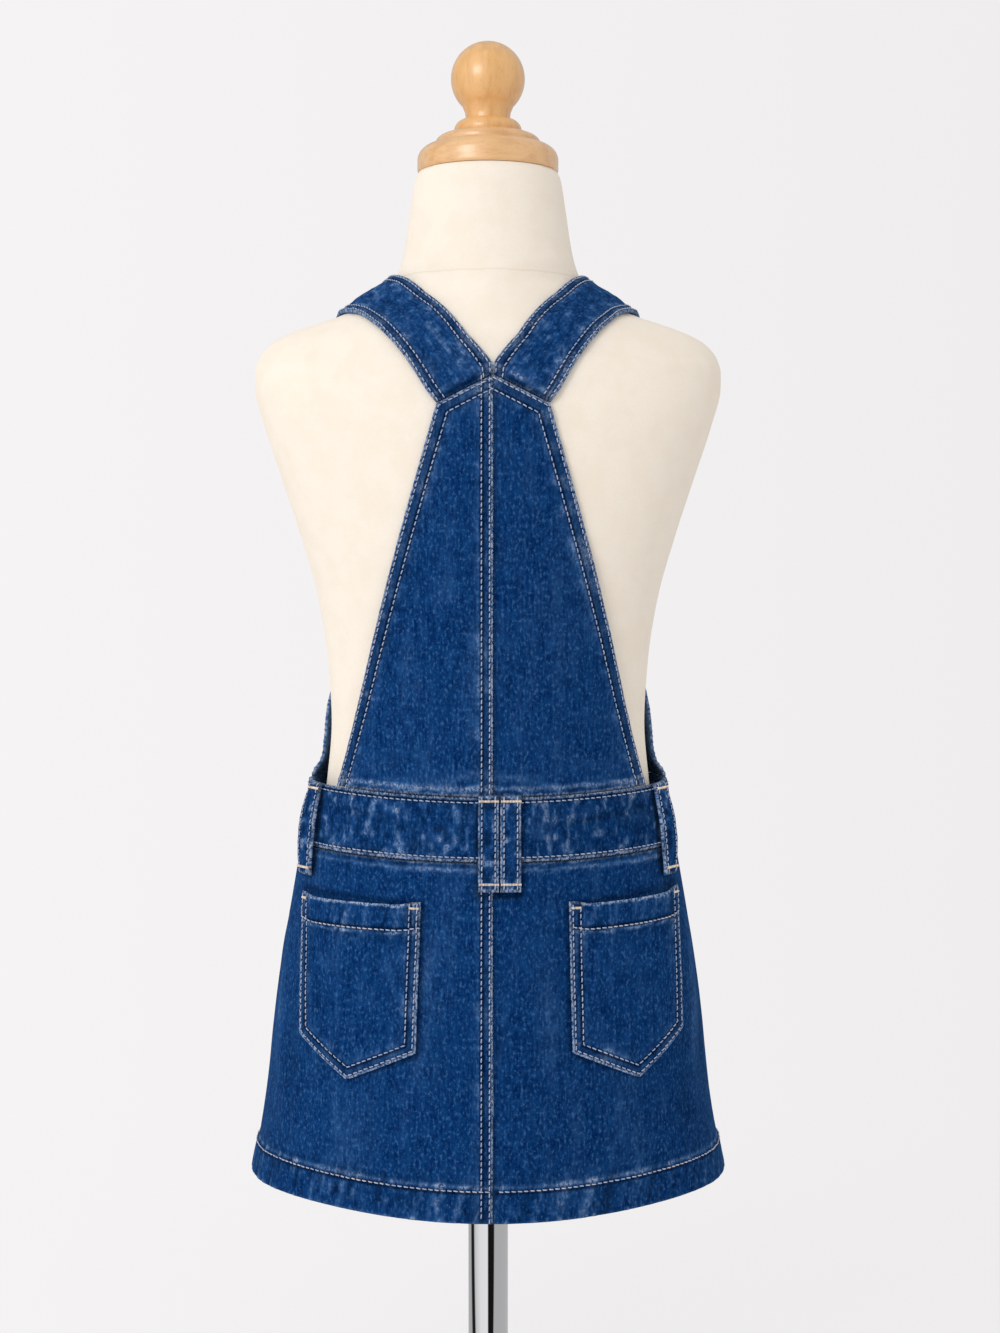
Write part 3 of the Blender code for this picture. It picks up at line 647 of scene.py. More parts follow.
def mesh_object(name, points, faces, material, smooth=True):
    """An object of these points, in millimetres, and faces."""
    mesh = bpy.data.meshes.new(name)
    mesh.from_pydata((np.asarray(points) * MM).tolist(), [], faces)
    mesh.materials.append(material)
    if smooth:
        mesh.shade_smooth()
    made = bpy.data.objects.new(name, mesh)
    bpy.context.scene.collection.objects.link(made)
    return made


def point_values(piece, name, values):
    """Stores a number for each point of a piece, for its material to read."""
    layer = piece.data.attributes.new(name, "FLOAT", "POINT")
    layer.data.foreach_set("value", values.astype(np.float32))


def grid_faces(rows, columns):
    """The quads of a grid of points, numbered row by row."""
    index = np.arange(rows * columns).reshape(rows, columns)
    quads = np.stack([index[:-1, :-1], index[:-1, 1:], index[1:, 1:], index[1:, :-1]], axis=-1)
    return quads.reshape(-1, 4)


def sew(cloth, x, y, material):
    """The closed shell of a piece of cloth over its grid of flat measures, with rounded rims."""
    rows, columns = x.shape
    base, normals = cloth.lay(x, y)
    surface = Surface(cloth, x, y)
    outer = cloth.face + surface.body + surface.added
    inner = cloth.face + surface.body - cloth.wall
    middle = 0.5 * (outer + inner)
    rim = np.minimum(rim_profile(rows)[:, None], rim_profile(columns)[None, :])
    outer = middle + rim * (outer - middle)
    inner = middle + rim * (inner - middle)
    outer_points = (base + normals * outer[..., None]).reshape(-1, 3)
    inner_points = (base + normals * inner[..., None]).reshape(-1, 3)
    total = rows * columns
    outer_faces = grid_faces(rows, columns)
    border = np.zeros((rows, columns), bool)
    border[0, :] = border[-1, :] = True
    border[:, 0] = border[:, -1] = True
    border = border.reshape(-1)
    inner_index = np.arange(total)
    inner_index[~border] = total + np.arange((~border).sum())
    inner_faces = inner_index[outer_faces][:, ::-1]
    points = np.concatenate([outer_points, inner_points[~border]])
    middle_face = outer_faces[len(outer_faces) // 2 + columns // 2]
    a, b, c = (outer_points[middle_face[n]] for n in (0, 1, 3))
    facing = np.cross(b - a, c - a) @ normals.reshape(-1, 3)[middle_face[0]]
    faces = np.concatenate([outer_faces, inner_faces])
    if facing < 0.0:
        faces = faces[:, ::-1]
    piece = mesh_object(cloth.name, points, faces.tolist(), material)
    every = np.concatenate([np.arange(total), np.arange(total)[~border]])
    # The weft lies on the back of the cloth, so its inner face is paler, and nothing has rubbed it.
    inside = np.arange(len(every)) >= total
    point_values(piece, "wear", np.where(inside, 0.5, surface.wear.reshape(-1)[every]))
    point_values(piece, "shade", np.where(inside, 0.0, surface.shade.reshape(-1)[every]))
    flat = np.stack([x.reshape(-1)[every], y.reshape(-1)[every]], axis=1)
    corners = np.empty(len(piece.data.loops), np.int32)
    piece.data.loops.foreach_get("vertex_index", corners)
    grain = piece.data.uv_layers.new(name="Grain")
    grain.data.foreach_set("uv", flat[corners].astype(np.float32).reshape(-1))
    return piece


def travel(points):
    """How far along a line of points each of them is."""
    steps = np.linalg.norm(np.diff(points, axis=0), axis=1)
    return np.concatenate([[0.0], np.cumsum(steps)])


def read_along(places, travelled, values):
    """Rows of three values, read at these distances along a line."""
    return np.stack([np.interp(places, travelled, values[:, k]) for k in range(3)], axis=-1)


def even_points(cloth, line, step):
    """Points and normals on the outer face along a line of flat measures, evenly spaced."""
    line = np.asarray(line, float)
    lengths = np.hypot(*np.diff(line, axis=0).T)
    travelled = np.concatenate([[0.0], np.cumsum(lengths)])
    places = np.arange(0.0, travelled[-1], step)
    x = np.interp(places, travelled, line[:, 0])
    y = np.interp(places, travelled, line[:, 1])
    return cloth.outer(x, y)


THREAD_SIDES = 6
THREAD_FLATNESS = 0.8


def threads(middles, normals, radii):
    """Rings of points round short lengths of thread. middles is length by step by 3."""
    along = unit(np.gradient(middles, axis=1))
    side = unit(np.cross(along, normals))
    up = unit(np.cross(side, along))
    turns = np.linspace(0.0, 2.0 * math.pi, THREAD_SIDES + 1)[:-1]
    beside = side[:, :, None, :] * np.cos(turns)[:, None]
    ring = beside + up[:, :, None, :] * np.sin(turns)[:, None] * THREAD_FLATNESS
    return middles[:, :, None, :] + ring * radii[:, None, None]


def thread_faces(count, steps, sides):
    """The walls and ends of lengths of thread, numbered ring by ring."""
    ring = np.arange(sides)
    after = (ring + 1) % sides
    faces = []
    for step in range(steps - 1):
        low = step * sides
        quads = np.stack([low + ring, low + sides + ring, low + sides + after, low + after], axis=1)
        faces.append(quads)
    faces = np.concatenate(faces)
    firsts = np.arange(count)[:, None, None] * steps * sides
    quads = (faces[None] + firsts).reshape(-1, 4).tolist()
    starts = (np.arange(count) * steps * sides)[:, None]
    heads = (starts + ring[None]).tolist()
    tails = (starts + (steps - 1) * sides + ring[::-1][None]).tolist()
    return quads + heads + tails


# A stitch at five places along it: its share of the length, its lift and its share of the radius
STITCH_SHARES = np.array([0.0, 0.12, 0.5, 0.88, 1.0])
STITCH_LIFTS = np.array([-0.35, 0.22, 0.5, 0.22, -0.35])
STITCH_SWELL = np.array([0.5, 0.9, 1.0, 0.9, 0.5])

# A stitch starts up to DRIFT early or late, and its ends lie SLANT to either side of the row.
STITCH_DRIFT = 0.12
STITCH_SLANT = 0.13

# A thread of a bartack at the same places: how far to each side of its line, and its lift
TACK_REACH = 0.75 * np.array([-1.0, -0.6, 0.0, 0.6, 1.0])
TACK_LIFTS = np.array([-0.3, 0.35, 0.62, 0.35, -0.3])


def millimetres(setting):
    """A setting's length in millimetres. Settings are single precision, so the rest is rounded."""
    return round(setting / MM, 4)


def row_of_stitches(cloth, line, start, gauge):
    """Topstitching along a line, each stitch diving into the cloth at both ends."""
    sewing = bpy.context.scene.overall_denim
    pitch, length = millimetres(sewing.stitch_pitch), millimetres(sewing.stitch_length)
    points, normals = even_points(cloth, line, 0.25)
    travelled = travel(points)
    count = int((travelled[-1] - start - length) / pitch) + 1
    if count < 1:
        return None
    drift = STITCH_DRIFT * UNEVEN(np.arange(count) * 1.7, 3.0 + len(line))
    begins = start + np.arange(count) * pitch + drift
    places = begins[:, None] + STITCH_SHARES * (length + 1.2 * (gauge - 1.0))
    middles = read_along(places, travelled, points)
    facing = unit(read_along(places, travelled, normals))
    along = unit(middles[:, -1:] - middles[:, :1])
    slant = STITCH_SLANT * (STITCH_SHARES - 0.5) * 2.0
    sideways = np.cross(along, facing) * slant[:, None]
    middles = middles + facing * STITCH_LIFTS[:, None] + sideways
    radius = 0.5 * millimetres(sewing.thread_width)
    return threads(middles, facing, STITCH_SWELL * radius * gauge)


def tack_threads(cloth, tack):
    """A bartack: short threads packed side by side across a line."""
    line = np.array([tack.start, tack.end], float)
    length = np.hypot(*(line[1] - line[0]))
    points, normals = even_points(cloth, line, min(TACK_PITCH, length / 2.01))
    along = unit(np.gradient(points, axis=0))
    side = unit(np.cross(along, normals))
    middles = points[:, None] + side[:, None] * TACK_REACH[:, None]
    middles = middles + normals[:, None] * TACK_LIFTS[:, None]
    facing = np.repeat(normals[:, None], len(TACK_LIFTS), axis=1)
    radius = 0.5 * millimetres(bpy.context.scene.overall_denim.thread_width)
    return threads(middles, facing, STITCH_SWELL * radius * TACK_GAUGE)


def stitch(cloth, material):
    """All the stitching of a piece, as one mesh. The rows start at different places."""
    sewn = [
        (row_of_stitches(cloth, line, 0.4 + 0.7 * n % 2.0, gauge), tan)
        for n, (line, tan, gauge) in enumerate(cloth.rows())
    ]
    sewn += [(tack_threads(cloth, tack), 1.0) for tack in cloth.tacks]
    sewn = [(rings, tan) for rings, tan in sewn if rings is not None]
    rings = np.concatenate([made for made, _ in sewn])
    tans = np.concatenate([np.full(made[..., 0].size, tan) for made, tan in sewn])
    faces = thread_faces(len(rings), rings.shape[1], rings.shape[2])
    made = mesh_object(cloth.name + "_stitching", rings.reshape(-1, 3), faces, material)
    point_values(made, "tan", tans)
    return made


def stand_for(piece, node):
    """Says that a piece rides on the one body and replaces this CAD node, which it hides."""
    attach(piece, "root")
    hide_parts(node)


def finish_cloth(cloth, x, y, node, area):
    """Sews and stitches a piece in place of its CAD node. Its flat measures are in mm."""
    piece = sew(cloth, x, y, denim_material())
    stand_for(piece, node)
    seams = stitch(cloth, thread_material())
    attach(seams, "root")
    area = area * MM * MM


def polygon_area(corners):
    """The area inside a line of corners."""
    x, y = np.asarray(corners, float).T
    return 0.5 * abs(float(np.dot(x, np.roll(y, -1)) - np.dot(y, np.roll(x, -1))))


def bowed(x, y):
    """The level that a thread cut straight hangs at, this far round from the nearer centre."""
    levels, dips, rises = zip(*BOWS)
    toward_side = np.sin(0.5 * math.pi * np.minimum(np.abs(x - BOW_CENTRE) / BOW_REACH, 1.0)) ** 2
    return y + np.interp(y, levels, dips) + np.interp(y, levels, rises) * toward_side


def on_garment(out=0.0, bow=True):
    """Lays flat measures on the garment: x is the arc from the centre back, y the height."""

    def lay(x, y):
        level = bowed(x, y) if bow else y
        points = GARMENT.point(level, x)
        normals = GARMENT.normal(level, x)
        return points + out * normals, normals

    return lay


def on_front(out=0.0):
    """Lays flat measures on the garment's front: x is the arc from the centre front."""

    def lay(x, y):
        arc = x + GARMENT.half_girth(y)
        level = bowed(-x, y)
        points = GARMENT.point(level, arc)
        normals = GARMENT.normal(level, arc)
        return points + out * normals, normals

    return lay


def upright(x_at, levels):
    """A line that runs up through these levels, its x given by a function of the level."""
    return [(float(x_at(level)), float(level)) for level in levels]


# ---- materials

# How a Mix node, a Map Range node and two kinds of Math node are set
TINT = {"output": 2, "data_type": "RGBA"}
EASED = {"interpolation_type": "SMOOTHSTEP"}
PLUS = {"operation": "ADD"}
TIMES = {"operation": "MULTIPLY"}


def linear(colour):
    """A linear colour from an sRGB hex value."""
    parts = [int(colour[i : i + 2], 16) / 255.0 for i in (1, 3, 5)]
    return [p / 12.92 if p <= 0.04045 else ((p + 0.055) / 1.055) ** 2.4 for p in parts]


def opaque(colour, shares=(1.0, 1.0, 1.0)):
    """A colour for a socket, each of its parts at this share."""
    return (*(part * share for part, share in zip(colour, shares)), 1.0)


def connect(tree, node, inputs):
    """Gives a node's inputs, by name or in order, their values or links."""
    for key, value in inputs.items() if isinstance(inputs, dict) else enumerate(inputs):
        if isinstance(value, bpy.types.NodeSocket):
            tree.links.new(value, node.inputs[key])
        else:
            node.inputs[key].default_value = value


def add_node(tree, kind, inputs=(), output=0, **settings):
    """Adds a node, sets what it is, fills its inputs with values or links, and gives an output."""
    made = tree.nodes.new("ShaderNode" + kind)
    for name, value in settings.items():
        setattr(made, name, value)
    connect(tree, made, inputs)
    return made.outputs[output]


def new_material(name):
    """A material, with what adds a node to it and what sets the inputs of its Principled shader."""
    material = bpy.data.materials.new(name)
    material.use_nodes = True
    tree = material.node_tree
    return material, partial(add_node, tree), partial(connect, tree, tree.nodes["Principled BSDF"])


def denim_material():
    """Stonewashed indigo denim, ring-spun warp on white weft: folds rubbed pale, partly painted
    highlight.
    """
    name = "Indigo denim, woven and stonewashed"
    if name in bpy.data.materials:
        return bpy.data.materials[name]
    dyes = bpy.context.scene.overall_denim
    material, node, shader = new_material(name)
    deep, mid, weft = opaque(dyes.indigo), opaque(dyes.washed), opaque(dyes.weft)
    flat = node("UVMap", uv_map="Grain")
    patterns = []
    for scale, detail, stretch, start in (
        # Slubs of the warp, a millimetre wide and a centimetre or two long
        (1.0, 2.0, (0.6, 0.07, 1.0), (0.0, 0.0, 0.0)),
        # Flecks and dots where the weft shows between warp threads. The real ones are half as wide.
        (1.0, 1.0, (0.62, 0.36, 1.0), (40.0, 7.0, 0.0)),
        (1.0, 1.0, (0.85, 0.7, 1.0), (3.0, 90.0, 0.0)),
        # Clouds of the wash, a few centimetres across, and smaller patches in them
        (0.03, 3.0, (1.0, 0.7, 1.0), (11.0, 5.0, 0.0)),
        (0.2, 2.0, (1.0, 0.6, 1.0), (70.0, 31.0, 0.0)),
    ):
        spot = node("Mapping", {"Vector": flat, "Scale": stretch, "Location": start})
        grain = {"Vector": spot, "Scale": scale, "Detail": detail, "Roughness": 0.6}
        patterns.append(node("TexNoise", grain))
    slub, fleck, dot, cloud, patch = patterns
    # Twill line, real pitch 1.1 mm
    turned = node("Mapping", {"Vector": flat, "Rotation": (0.0, 0.0, 0.52)})
    line = {"Vector": turned, "Scale": 0.285, "Distortion": 0.8, "Detail": 1.0, "Detail Scale": 1.5}
    twill = node("TexWave", line, "Fac", bands_direction="X")
    # Three sums of patterns, each pattern at its own weight or eased within its own range
    sums = []
    for kind, how, parts in (
        ("Math", TIMES, ((slub, 0.3), (fleck, 0.35), (patch, 0.35))),
        ("Math", TIMES, ((twill, 0.3), (slub, 0.7), (fleck, 0.8))),
        ("MapRange", EASED, ((fleck, 0.46, 0.62, 0.0, 0.75), (dot, 0.46, 0.62, 0.0, 0.6))),
    ):
        total, *others = (node(kind, part, **how) for part in parts)
        for share in others:
            total = node("Math", [total, share], **PLUS)
        sums.append(total)
    tone, height, specks = sums
    threads_showing = node("Math", [node("MapRange", [slub, 0.3, 0.7], **EASED), 0.1], **TIMES)
    threads_showing = node("Math", [fleck, threads_showing], **PLUS)
    # Wear first greys the warp, then bares the weft in specks that run together along an edge.
    worn = node("Attribute", output="Fac", attribute_name="wear")
    shaded = node("Attribute", output="Fac", attribute_name="shade")
    greyed = node("MapRange", [tone, 0.38, 0.62, 0.35, 0.85], **EASED)
    greyed = node("Math", [node("MapRange", [worn, 0.0, 0.5], **EASED), greyed], **TIMES)
    bared = node("Math", [specks, 0.95], operation="MINIMUM")
    bared = node("Math", [node("MapRange", [worn, 0.2, 0.88], **EASED), bared], **TIMES)
    colour = deep
    for share, over in (
        (node("MapRange", [tone, 0.33, 0.67], **EASED), mid),
        (node("MapRange", [cloud, 0.42, 0.7, 0.0, 0.25], **EASED), mid),
        (node("MapRange", [threads_showing, 0.6, 0.8, 0.0, 0.18], **EASED), weft),
        (node("MapRange", [dot, 0.6, 0.76, 0.0, 0.14], **EASED), weft),
        (node("Math", [twill, 0.1], **TIMES), deep),
        (greyed, opaque(dyes.thinned)),
        (bared, opaque(dyes.rubbed)),
        # Painted shade: the shade attribute darkens the cloth towards the shadowed colour.
        (node("Math", [shaded, 0.85], **TIMES), opaque(dyes.shadowed)),
    ):
        colour = node("Mix", {0: share, 6: colour, 7: over}, **TINT)
    shader({
        "Base Color": colour, "Roughness": 0.9, "Specular IOR Level": 0.0,
        "Sheen Weight": 0.2, "Sheen Roughness": 0.4, "Sheen Tint": weft,
        "Normal": node("Bump", {"Strength": 0.5, "Distance": 0.0006, "Height": height}),
    })
    return material


def thread_material():
    """Core-spun polyester sewing thread, tan and slightly lustrous, greyed by the wash."""
    name = "Tan topstitching thread, spun polyester"
    if name in bpy.data.materials:
        return bpy.data.materials[name]
    dyes = bpy.context.scene.overall_denim
    material, node, shader = new_material(name)
    place = node("TexCoord", output="Object")
    # Dye and rubbing change along a seam every few centimetres, and from stitch to stitch. Fibres
    # are drawn 0.4 mm apart, ten times as far as the real ones.
    change, each, fibre = (
        node("TexNoise", {"Vector": place, "Scale": scale, "Detail": detail, "Roughness": 0.6})
        for scale, detail in ((28.0, 2.0), (420.0, 0.0), (2600.0, 1.0))
    )
    tan = node("Attribute", output="Fac", attribute_name="tan")
    tan = node("Math", [tan, node("MapRange", [change, 0.4, 0.62, -0.1, 0.1], **EASED)], **PLUS)
    colour = opaque(dyes.greyed)
    for share, over in (
        (node("Math", [tan, 1.0], operation="MINIMUM"), opaque(dyes.thread)),
        (node("MapRange", [each, 0.4, 0.75, 0.0, 0.5], **EASED), opaque(dyes.greyed, [0.6] * 3)),
    ):
        colour = node("Mix", {0: share, 6: colour, 7: over}, **TINT)
    bump = node("Bump", {"Strength": 0.4, "Distance": 0.0002, "Height": fibre})
    shader({"Base Color": colour, "Roughness": 0.65, "Specular IOR Level": 0.3, "Normal": bump})
    return material


def cotton_material():
    """Unbleached cotton jersey stretched over the form: matt, with a fine plain grain."""
    cotton = bpy.context.scene.overall_form.cotton
    material, node, shader = new_material("Unbleached cotton cover, knitted")
    place = node("TexCoord", output="Object")
    # Courses of the knit, real pitch 0.7 mm
    courses = node("Mapping", {"Vector": place, "Scale": (1.0, 1.0, 0.6)})
    grain = node("TexNoise", {"Vector": courses, "Scale": 1500.0, "Detail": 2.0, "Roughness": 0.6})
    mottle = node("TexNoise", {"Vector": place, "Scale": 60.0, "Detail": 3.0, "Roughness": 0.6})
    # The seam that joins the neck to the body, pressed flat: a fine line of painted shade stands
    # for its groove.
    level = node("SeparateXYZ", [place], "Z")
    level = node("Math", [level, node("Math", [mottle, 0.002], **TIMES)], **PLUS)
    off = node("Math", [level, NECK_SEAM * MM + 0.001], operation="SUBTRACT")
    off = node("Math", [off], operation="ABSOLUTE")
    colour = opaque(cotton)
    for share, shares in (
        (node("MapRange", [mottle, 0.35, 0.7], **EASED), (0.975, 0.955, 0.93)),
        (node("MapRange", [grain, 0.4, 0.7, 0.0, 0.5], **EASED), (0.93, 0.93, 0.93)),
        (node("MapRange", [off, 0.0002, 0.0008, 0.32, 0.0], **EASED), (0.8, 0.72, 0.62)),
    ):
        colour = node("Mix", {0: share, 6: colour, 7: opaque(cotton, shares)}, **TINT)
    bump = node("Bump", {"Strength": 0.35, "Distance": 0.0003, "Height": grain})
    shader({"Base Color": colour, "Roughness": 0.92, "Specular IOR Level": 0.2,
            "Sheen Weight": 0.08, "Normal": bump})
    return material


def beech_material(grain, lie):
    """Steamed beech, turned, sanded and satin lacquered: short dark flecks along the grain."""
    woods = bpy.context.scene.overall_form
    material, node, shader = new_material("Beech, lacquered, its grain " + grain)
    place = node("TexCoord", output="Object")
    place = node("Mapping", {"Vector": place, "Rotation": lie})
    # Growth rings, 2 to 4 mm apart, drifting aside
    across = node("Mapping", {"Vector": place, "Scale": (210.0, 150.0, 26.0)})
    ring = node("TexNoise", {"Vector": across, "Scale": 1.0, "Detail": 3.0, "Roughness": 0.6})
    # Ray flecks, 0.5 mm wide and 3 mm long
    start = {"Vector": place, "Scale": (1500.0, 1500.0, 260.0), "Location": (3.0, 1.0, 8.0)}
    inputs = {"Vector": node("Mapping", start), "Scale": 1.0, "Detail": 1.0, "Roughness": 0.6}
    fleck = node("TexNoise", inputs)
    # The cap's wood is paler, as painted sheen where its upturned face catches the light.
    colour = opaque(woods.beech_cap_painted_sheen if grain == "lying" else woods.beech)
    for share in (
        node("MapRange", [ring, 0.42, 0.7, 0.0, 0.42], **EASED),
        node("MapRange", [fleck, 0.62, 0.75, 0.0, 0.5], **EASED),
    ):
        colour = node("Mix", {0: share, 6: colour, 7: opaque(woods.beech_grain)}, **TINT)
    bump = node("Bump", {"Strength": 0.15, "Distance": 0.0002, "Height": fleck})
    shader({"Base Color": colour, "Roughness": 0.4, "Specular IOR Level": 0.5,
            "Coat Weight": 1.0, "Coat Roughness": 0.27, "Normal": bump})
    return material


def chrome_material():
    """Chromium plate on polished steel tube, streaked along its length by the polishing belt."""
    material, node, shader = new_material("Chromium plate, polished")
    place = node("TexCoord", output="Object")
    # Belt marks, real width 0.1 mm or less, drawn 2 mm wide
    along = node("Mapping", {"Vector": place, "Scale": (500.0, 500.0, 12.0)})
    smear = node("TexNoise", {"Vector": along, "Scale": 1.0, "Detail": 2.0, "Roughness": 0.6})
    shader({
        "Base Color": opaque(bpy.context.scene.overall_form.chrome), "Metallic": 1.0,
        "Roughness": node("MapRange", [smear, 0.3, 0.7, 0.02, 0.05], **EASED),
    })
    return material


def steel_material():
    """Mild steel plate with a satin nickel finish, turned, so its fine lines run round."""
    material, node, shader = new_material("Steel, turned and satin plated")
    place = node("TexCoord", output="Object")
    # Tool lines, real pitch about 0.3 mm, drawn at 1 mm
    pitch = {"Vector": place, "Scale": 300.0, "Distortion": 0.6, "Detail": 2.0}
    lines = node("TexWave", pitch, "Fac", wave_type="RINGS", rings_direction="Z")
    shader({
        "Base Color": opaque(bpy.context.scene.overall_form.steel), "Metallic": 1.0,
        "Roughness": node("MapRange", [lines, 0.0, 1.0, 0.24, 0.34], **EASED),
        "Normal": node("Bump", {"Strength": 0.12, "Distance": 0.0001, "Height": lines}),
    })
    return material


def brass_material():
    """Antique brass, stamped and tumbled: bright on its rims and brown in its hollows."""
    brass = bpy.context.scene.overall_denim.brass
    material, node, shader = new_material("Antique brass, stamped")
    place = node("TexCoord", output="Object")
    patina = node("TexNoise", {"Vector": place, "Scale": 700.0, "Detail": 3.0, "Roughness": 0.6})
    share = node("MapRange", [patina, 0.4, 0.65], **EASED)
    dark = opaque(brass, [0.45] * 3)
    shader({
        "Base Color": node("Mix", {0: share, 6: opaque(brass), 7: dark}, **TINT), "Metallic": 1.0,
        "Roughness": node("MapRange", [patina, 0.3, 0.7, 0.28, 0.45], **EASED),
    })
    return material


# ---- pieces of the stand and form


def lathe(name, profile, material, steps):
    """A turned solid about the upright axis, from a profile that runs down its outer side."""
    profile = np.asarray(profile, float)
    turns = np.linspace(0.0, 2.0 * math.pi, steps + 1)[:-1]
    inner = profile[1:-1]
    points = [(0.0, 0.0, profile[0, 1])]
    for radius, level in inner:
        points += [(radius * math.cos(t), radius * math.sin(t), level) for t in turns]
    points.append((0.0, 0.0, profile[-1, 1]))
    faces = [(0, 1 + n, 1 + (n + 1) % steps) for n in range(steps)]
    for row in range(len(inner) - 1):
        low = 1 + row * steps
        for n in range(steps):
            m = (n + 1) % steps
            faces.append((low + n, low + steps + n, low + steps + m, low + m))
    last = 1 + (len(inner) - 1) * steps
    faces += [(len(points) - 1, last + (n + 1) % steps, last + n) for n in range(steps)]
    made = mesh_object(name, points, faces, material)
    made.data.set_sharp_from_angle(angle=math.radians(SHARP_TURN))
    return made


def round_over(centre, radii, first, last, count):
    """Profile points on an elliptical arc, its angles in degrees up from straight out."""
    turns = np.radians(np.linspace(first, last, count + 1))
    return [(centre[0] + radii[0] * math.cos(t), centre[1] + radii[1] * math.sin(t)) for t in turns]


class OVERALL_OT_form(bpy.types.Operator):
    """Build the covered torso and neck of the dress form"""

    bl_idname = "overall.form"
    bl_label = "Form cover"

    def execute(self, context):
        rounded = np.linspace(FORM_FOOT, FORM_FOOT_CURVE, 12)[:-1]
        above = np.arange(FORM_FOOT_CURVE, NECK_TOP, FORM_ROW_STEP)
        levels = np.concatenate([rounded, above, [NECK_TOP]])
        shares = np.linspace(-1.0, 1.0, FORM_COLUMNS + 1)[:-1]
        height = np.repeat(levels[:, None], FORM_COLUMNS, axis=1)
        arc = shares[None, :] * FORM.half_girth(levels)[:, None]
        points = FORM.point(height, arc)
        index = np.arange(height.size).reshape(height.shape)
        after = np.roll(index, -1, axis=1)
        quads = np.stack([index[:-1], index[1:], after[1:], after[:-1]], axis=-1).reshape(-1, 4)
        faces = quads.tolist() + [index[0].tolist(), index[-1][::-1].tolist()]
        material = cotton_material()
        cover = mesh_object("form_cover", points.reshape(-1, 3), faces, material)
        cover.data.set_sharp_from_angle(angle=math.radians(SHARP_COVER_TURN))
        stand_for(cover, "form_body")
        return {"FINISHED"}


class OVERALL_OT_cap(bpy.types.Operator):
    """Turn the beech cap and its ball finial"""

    bl_idname = "overall.cap"
    bl_label = "Beech cap"

    def execute(self, context):
        lying = beech_material("lying", (0.0, math.pi / 2, 0.0))
        upright_grain = beech_material("upright", (0.0, 0.0, 0.0))
        foot = NECK_TOP + SEAM
        step_radii = (CAP_STEP_RADIUS - CAP_SEAT_RADIUS, CAP_SEAT - CAP_STEP_SHOULDER)
        rim_inset = CAP_STEP_RADIUS + 0.5
        disc = [(0.0, CAP_SEAT)]
        disc += round_over((CAP_SEAT_RADIUS, CAP_STEP_SHOULDER), step_radii, 90, 0, 14)
        disc += [(CAP_STEP_RADIUS, CAP_STEP_LEVEL + 0.3), (CAP_STEP_RADIUS + 0.1, CAP_STEP_LEVEL)]
        rim_radii = (CAP_RADIUS - rim_inset, CAP_STEP_LEVEL - 0.5 - CAP_SHOULDER)
        disc += round_over((rim_inset, CAP_SHOULDER), rim_radii, 90, 0, 18)
        disc += [(CAP_RADIUS, foot + 2.0)]
        lip = 1.6
        disc += round_over((CAP_RADIUS - lip, foot + lip), (lip, lip), -8, -90, 5)
        disc += [(0.0, foot)]
        cap = lathe("beech_cap", disc, lying, 128)
        foot = CAP_SEAT + SEAM
        ball = round_over((0.0, BALL_LEVEL), (BALL_RADIUS, BALL_RADIUS), 90, BALL_FOOT_ANGLE, 40)
        ball[0] = (0.0, BALL_LEVEL + BALL_RADIUS)
        neck = [(NECK_RADIUS + 0.4, NECK_LEVEL + 2.8), (NECK_RADIUS, NECK_LEVEL)]
        neck += [(NECK_RADIUS + 0.3, RING_TOP)]
        ring_radii = (RING_RADIUS - RING_TOP_RADIUS, RING_TOP - 0.1 - RING_SHOULDER)
        ring = round_over((RING_TOP_RADIUS, RING_SHOULDER), ring_radii, 90, 0, 14)
        turned = ball + neck + ring + [(RING_RADIUS - 0.3, foot), (0.0, foot)]
        finial = lathe("beech_finial", turned, upright_grain, 96)
        stand_for(cap, "neck_cap")
        stand_for(finial, "finial")
        return {"FINISHED"}


class OVERALL_OT_stand(bpy.types.Operator):
    """Build the chromed pole and the base plate it stands in"""

    bl_idname = "overall.stand"
    bl_label = "Stand"

    def execute(self, context):
        foot = BASE_DEPTH + SEAM
        top = FORM_FOOT - SEAM
        chamfer, lip, fillet = 0.6, 1.5, 3.0
        tube = [(0.0, top), (POLE_RADIUS - chamfer, top), (POLE_RADIUS, top - chamfer)]
        tube += [(POLE_RADIUS, foot + chamfer), (POLE_RADIUS - chamfer, foot), (0.0, foot)]
        pole = lathe("chromed_pole", tube, chrome_material(), 96)
        plate = [(0.0, BASE_DEPTH), (SOCKET_BORE, BASE_DEPTH), (SOCKET_BORE, SOCKET_HEIGHT)]
        for radius, level, turn, first, last, count in (
            (SOCKET_RADIUS, SOCKET_HEIGHT, lip, 90, 0, 5),
            (SOCKET_RADIUS, BASE_DEPTH, -fillet, 0, 90, 6),
            (BASE_RADIUS, BASE_DEPTH, fillet, 90, 0, 8),
        ):
            plate += round_over((radius - turn, level - turn), (turn, turn), first, last, count)
        plate += [(BASE_RADIUS, chamfer), (BASE_RADIUS - chamfer, 0.0), (0.0, 0.0)]
        base = lathe("base_plate", plate, steel_material(), 144)
        # The pole shows the studio's lamps and flags, so the base is kept out of its reflections.
        base.visible_glossy = False
        stand_for(pole, "stand_pole")
        stand_for(base, "stand_base")
        return {"FINISHED"}


# ---- the dress


def left_side(height):
    return GARMENT.side_arc(height) - SIDE_SEAM / 2


def right_side(height):
    return -GARMENT.side_arc(height) + SIDE_SEAM / 2


def front_left(height):
    return GARMENT.side_arc(height) + SIDE_SEAM / 2 - GARMENT.half_girth(height)


def front_right(height):
    return -front_left(height)


def strip(left, right, columns, rows):
    """A grid between two side lines, each a function of the height."""
    y = np.repeat(rows[:, None], len(columns), axis=1)
    first = left(y)
    last = right(y)
    share = (columns - columns[0]) / (columns[-1] - columns[0])
    return first + share[None, :] * (last - first), y


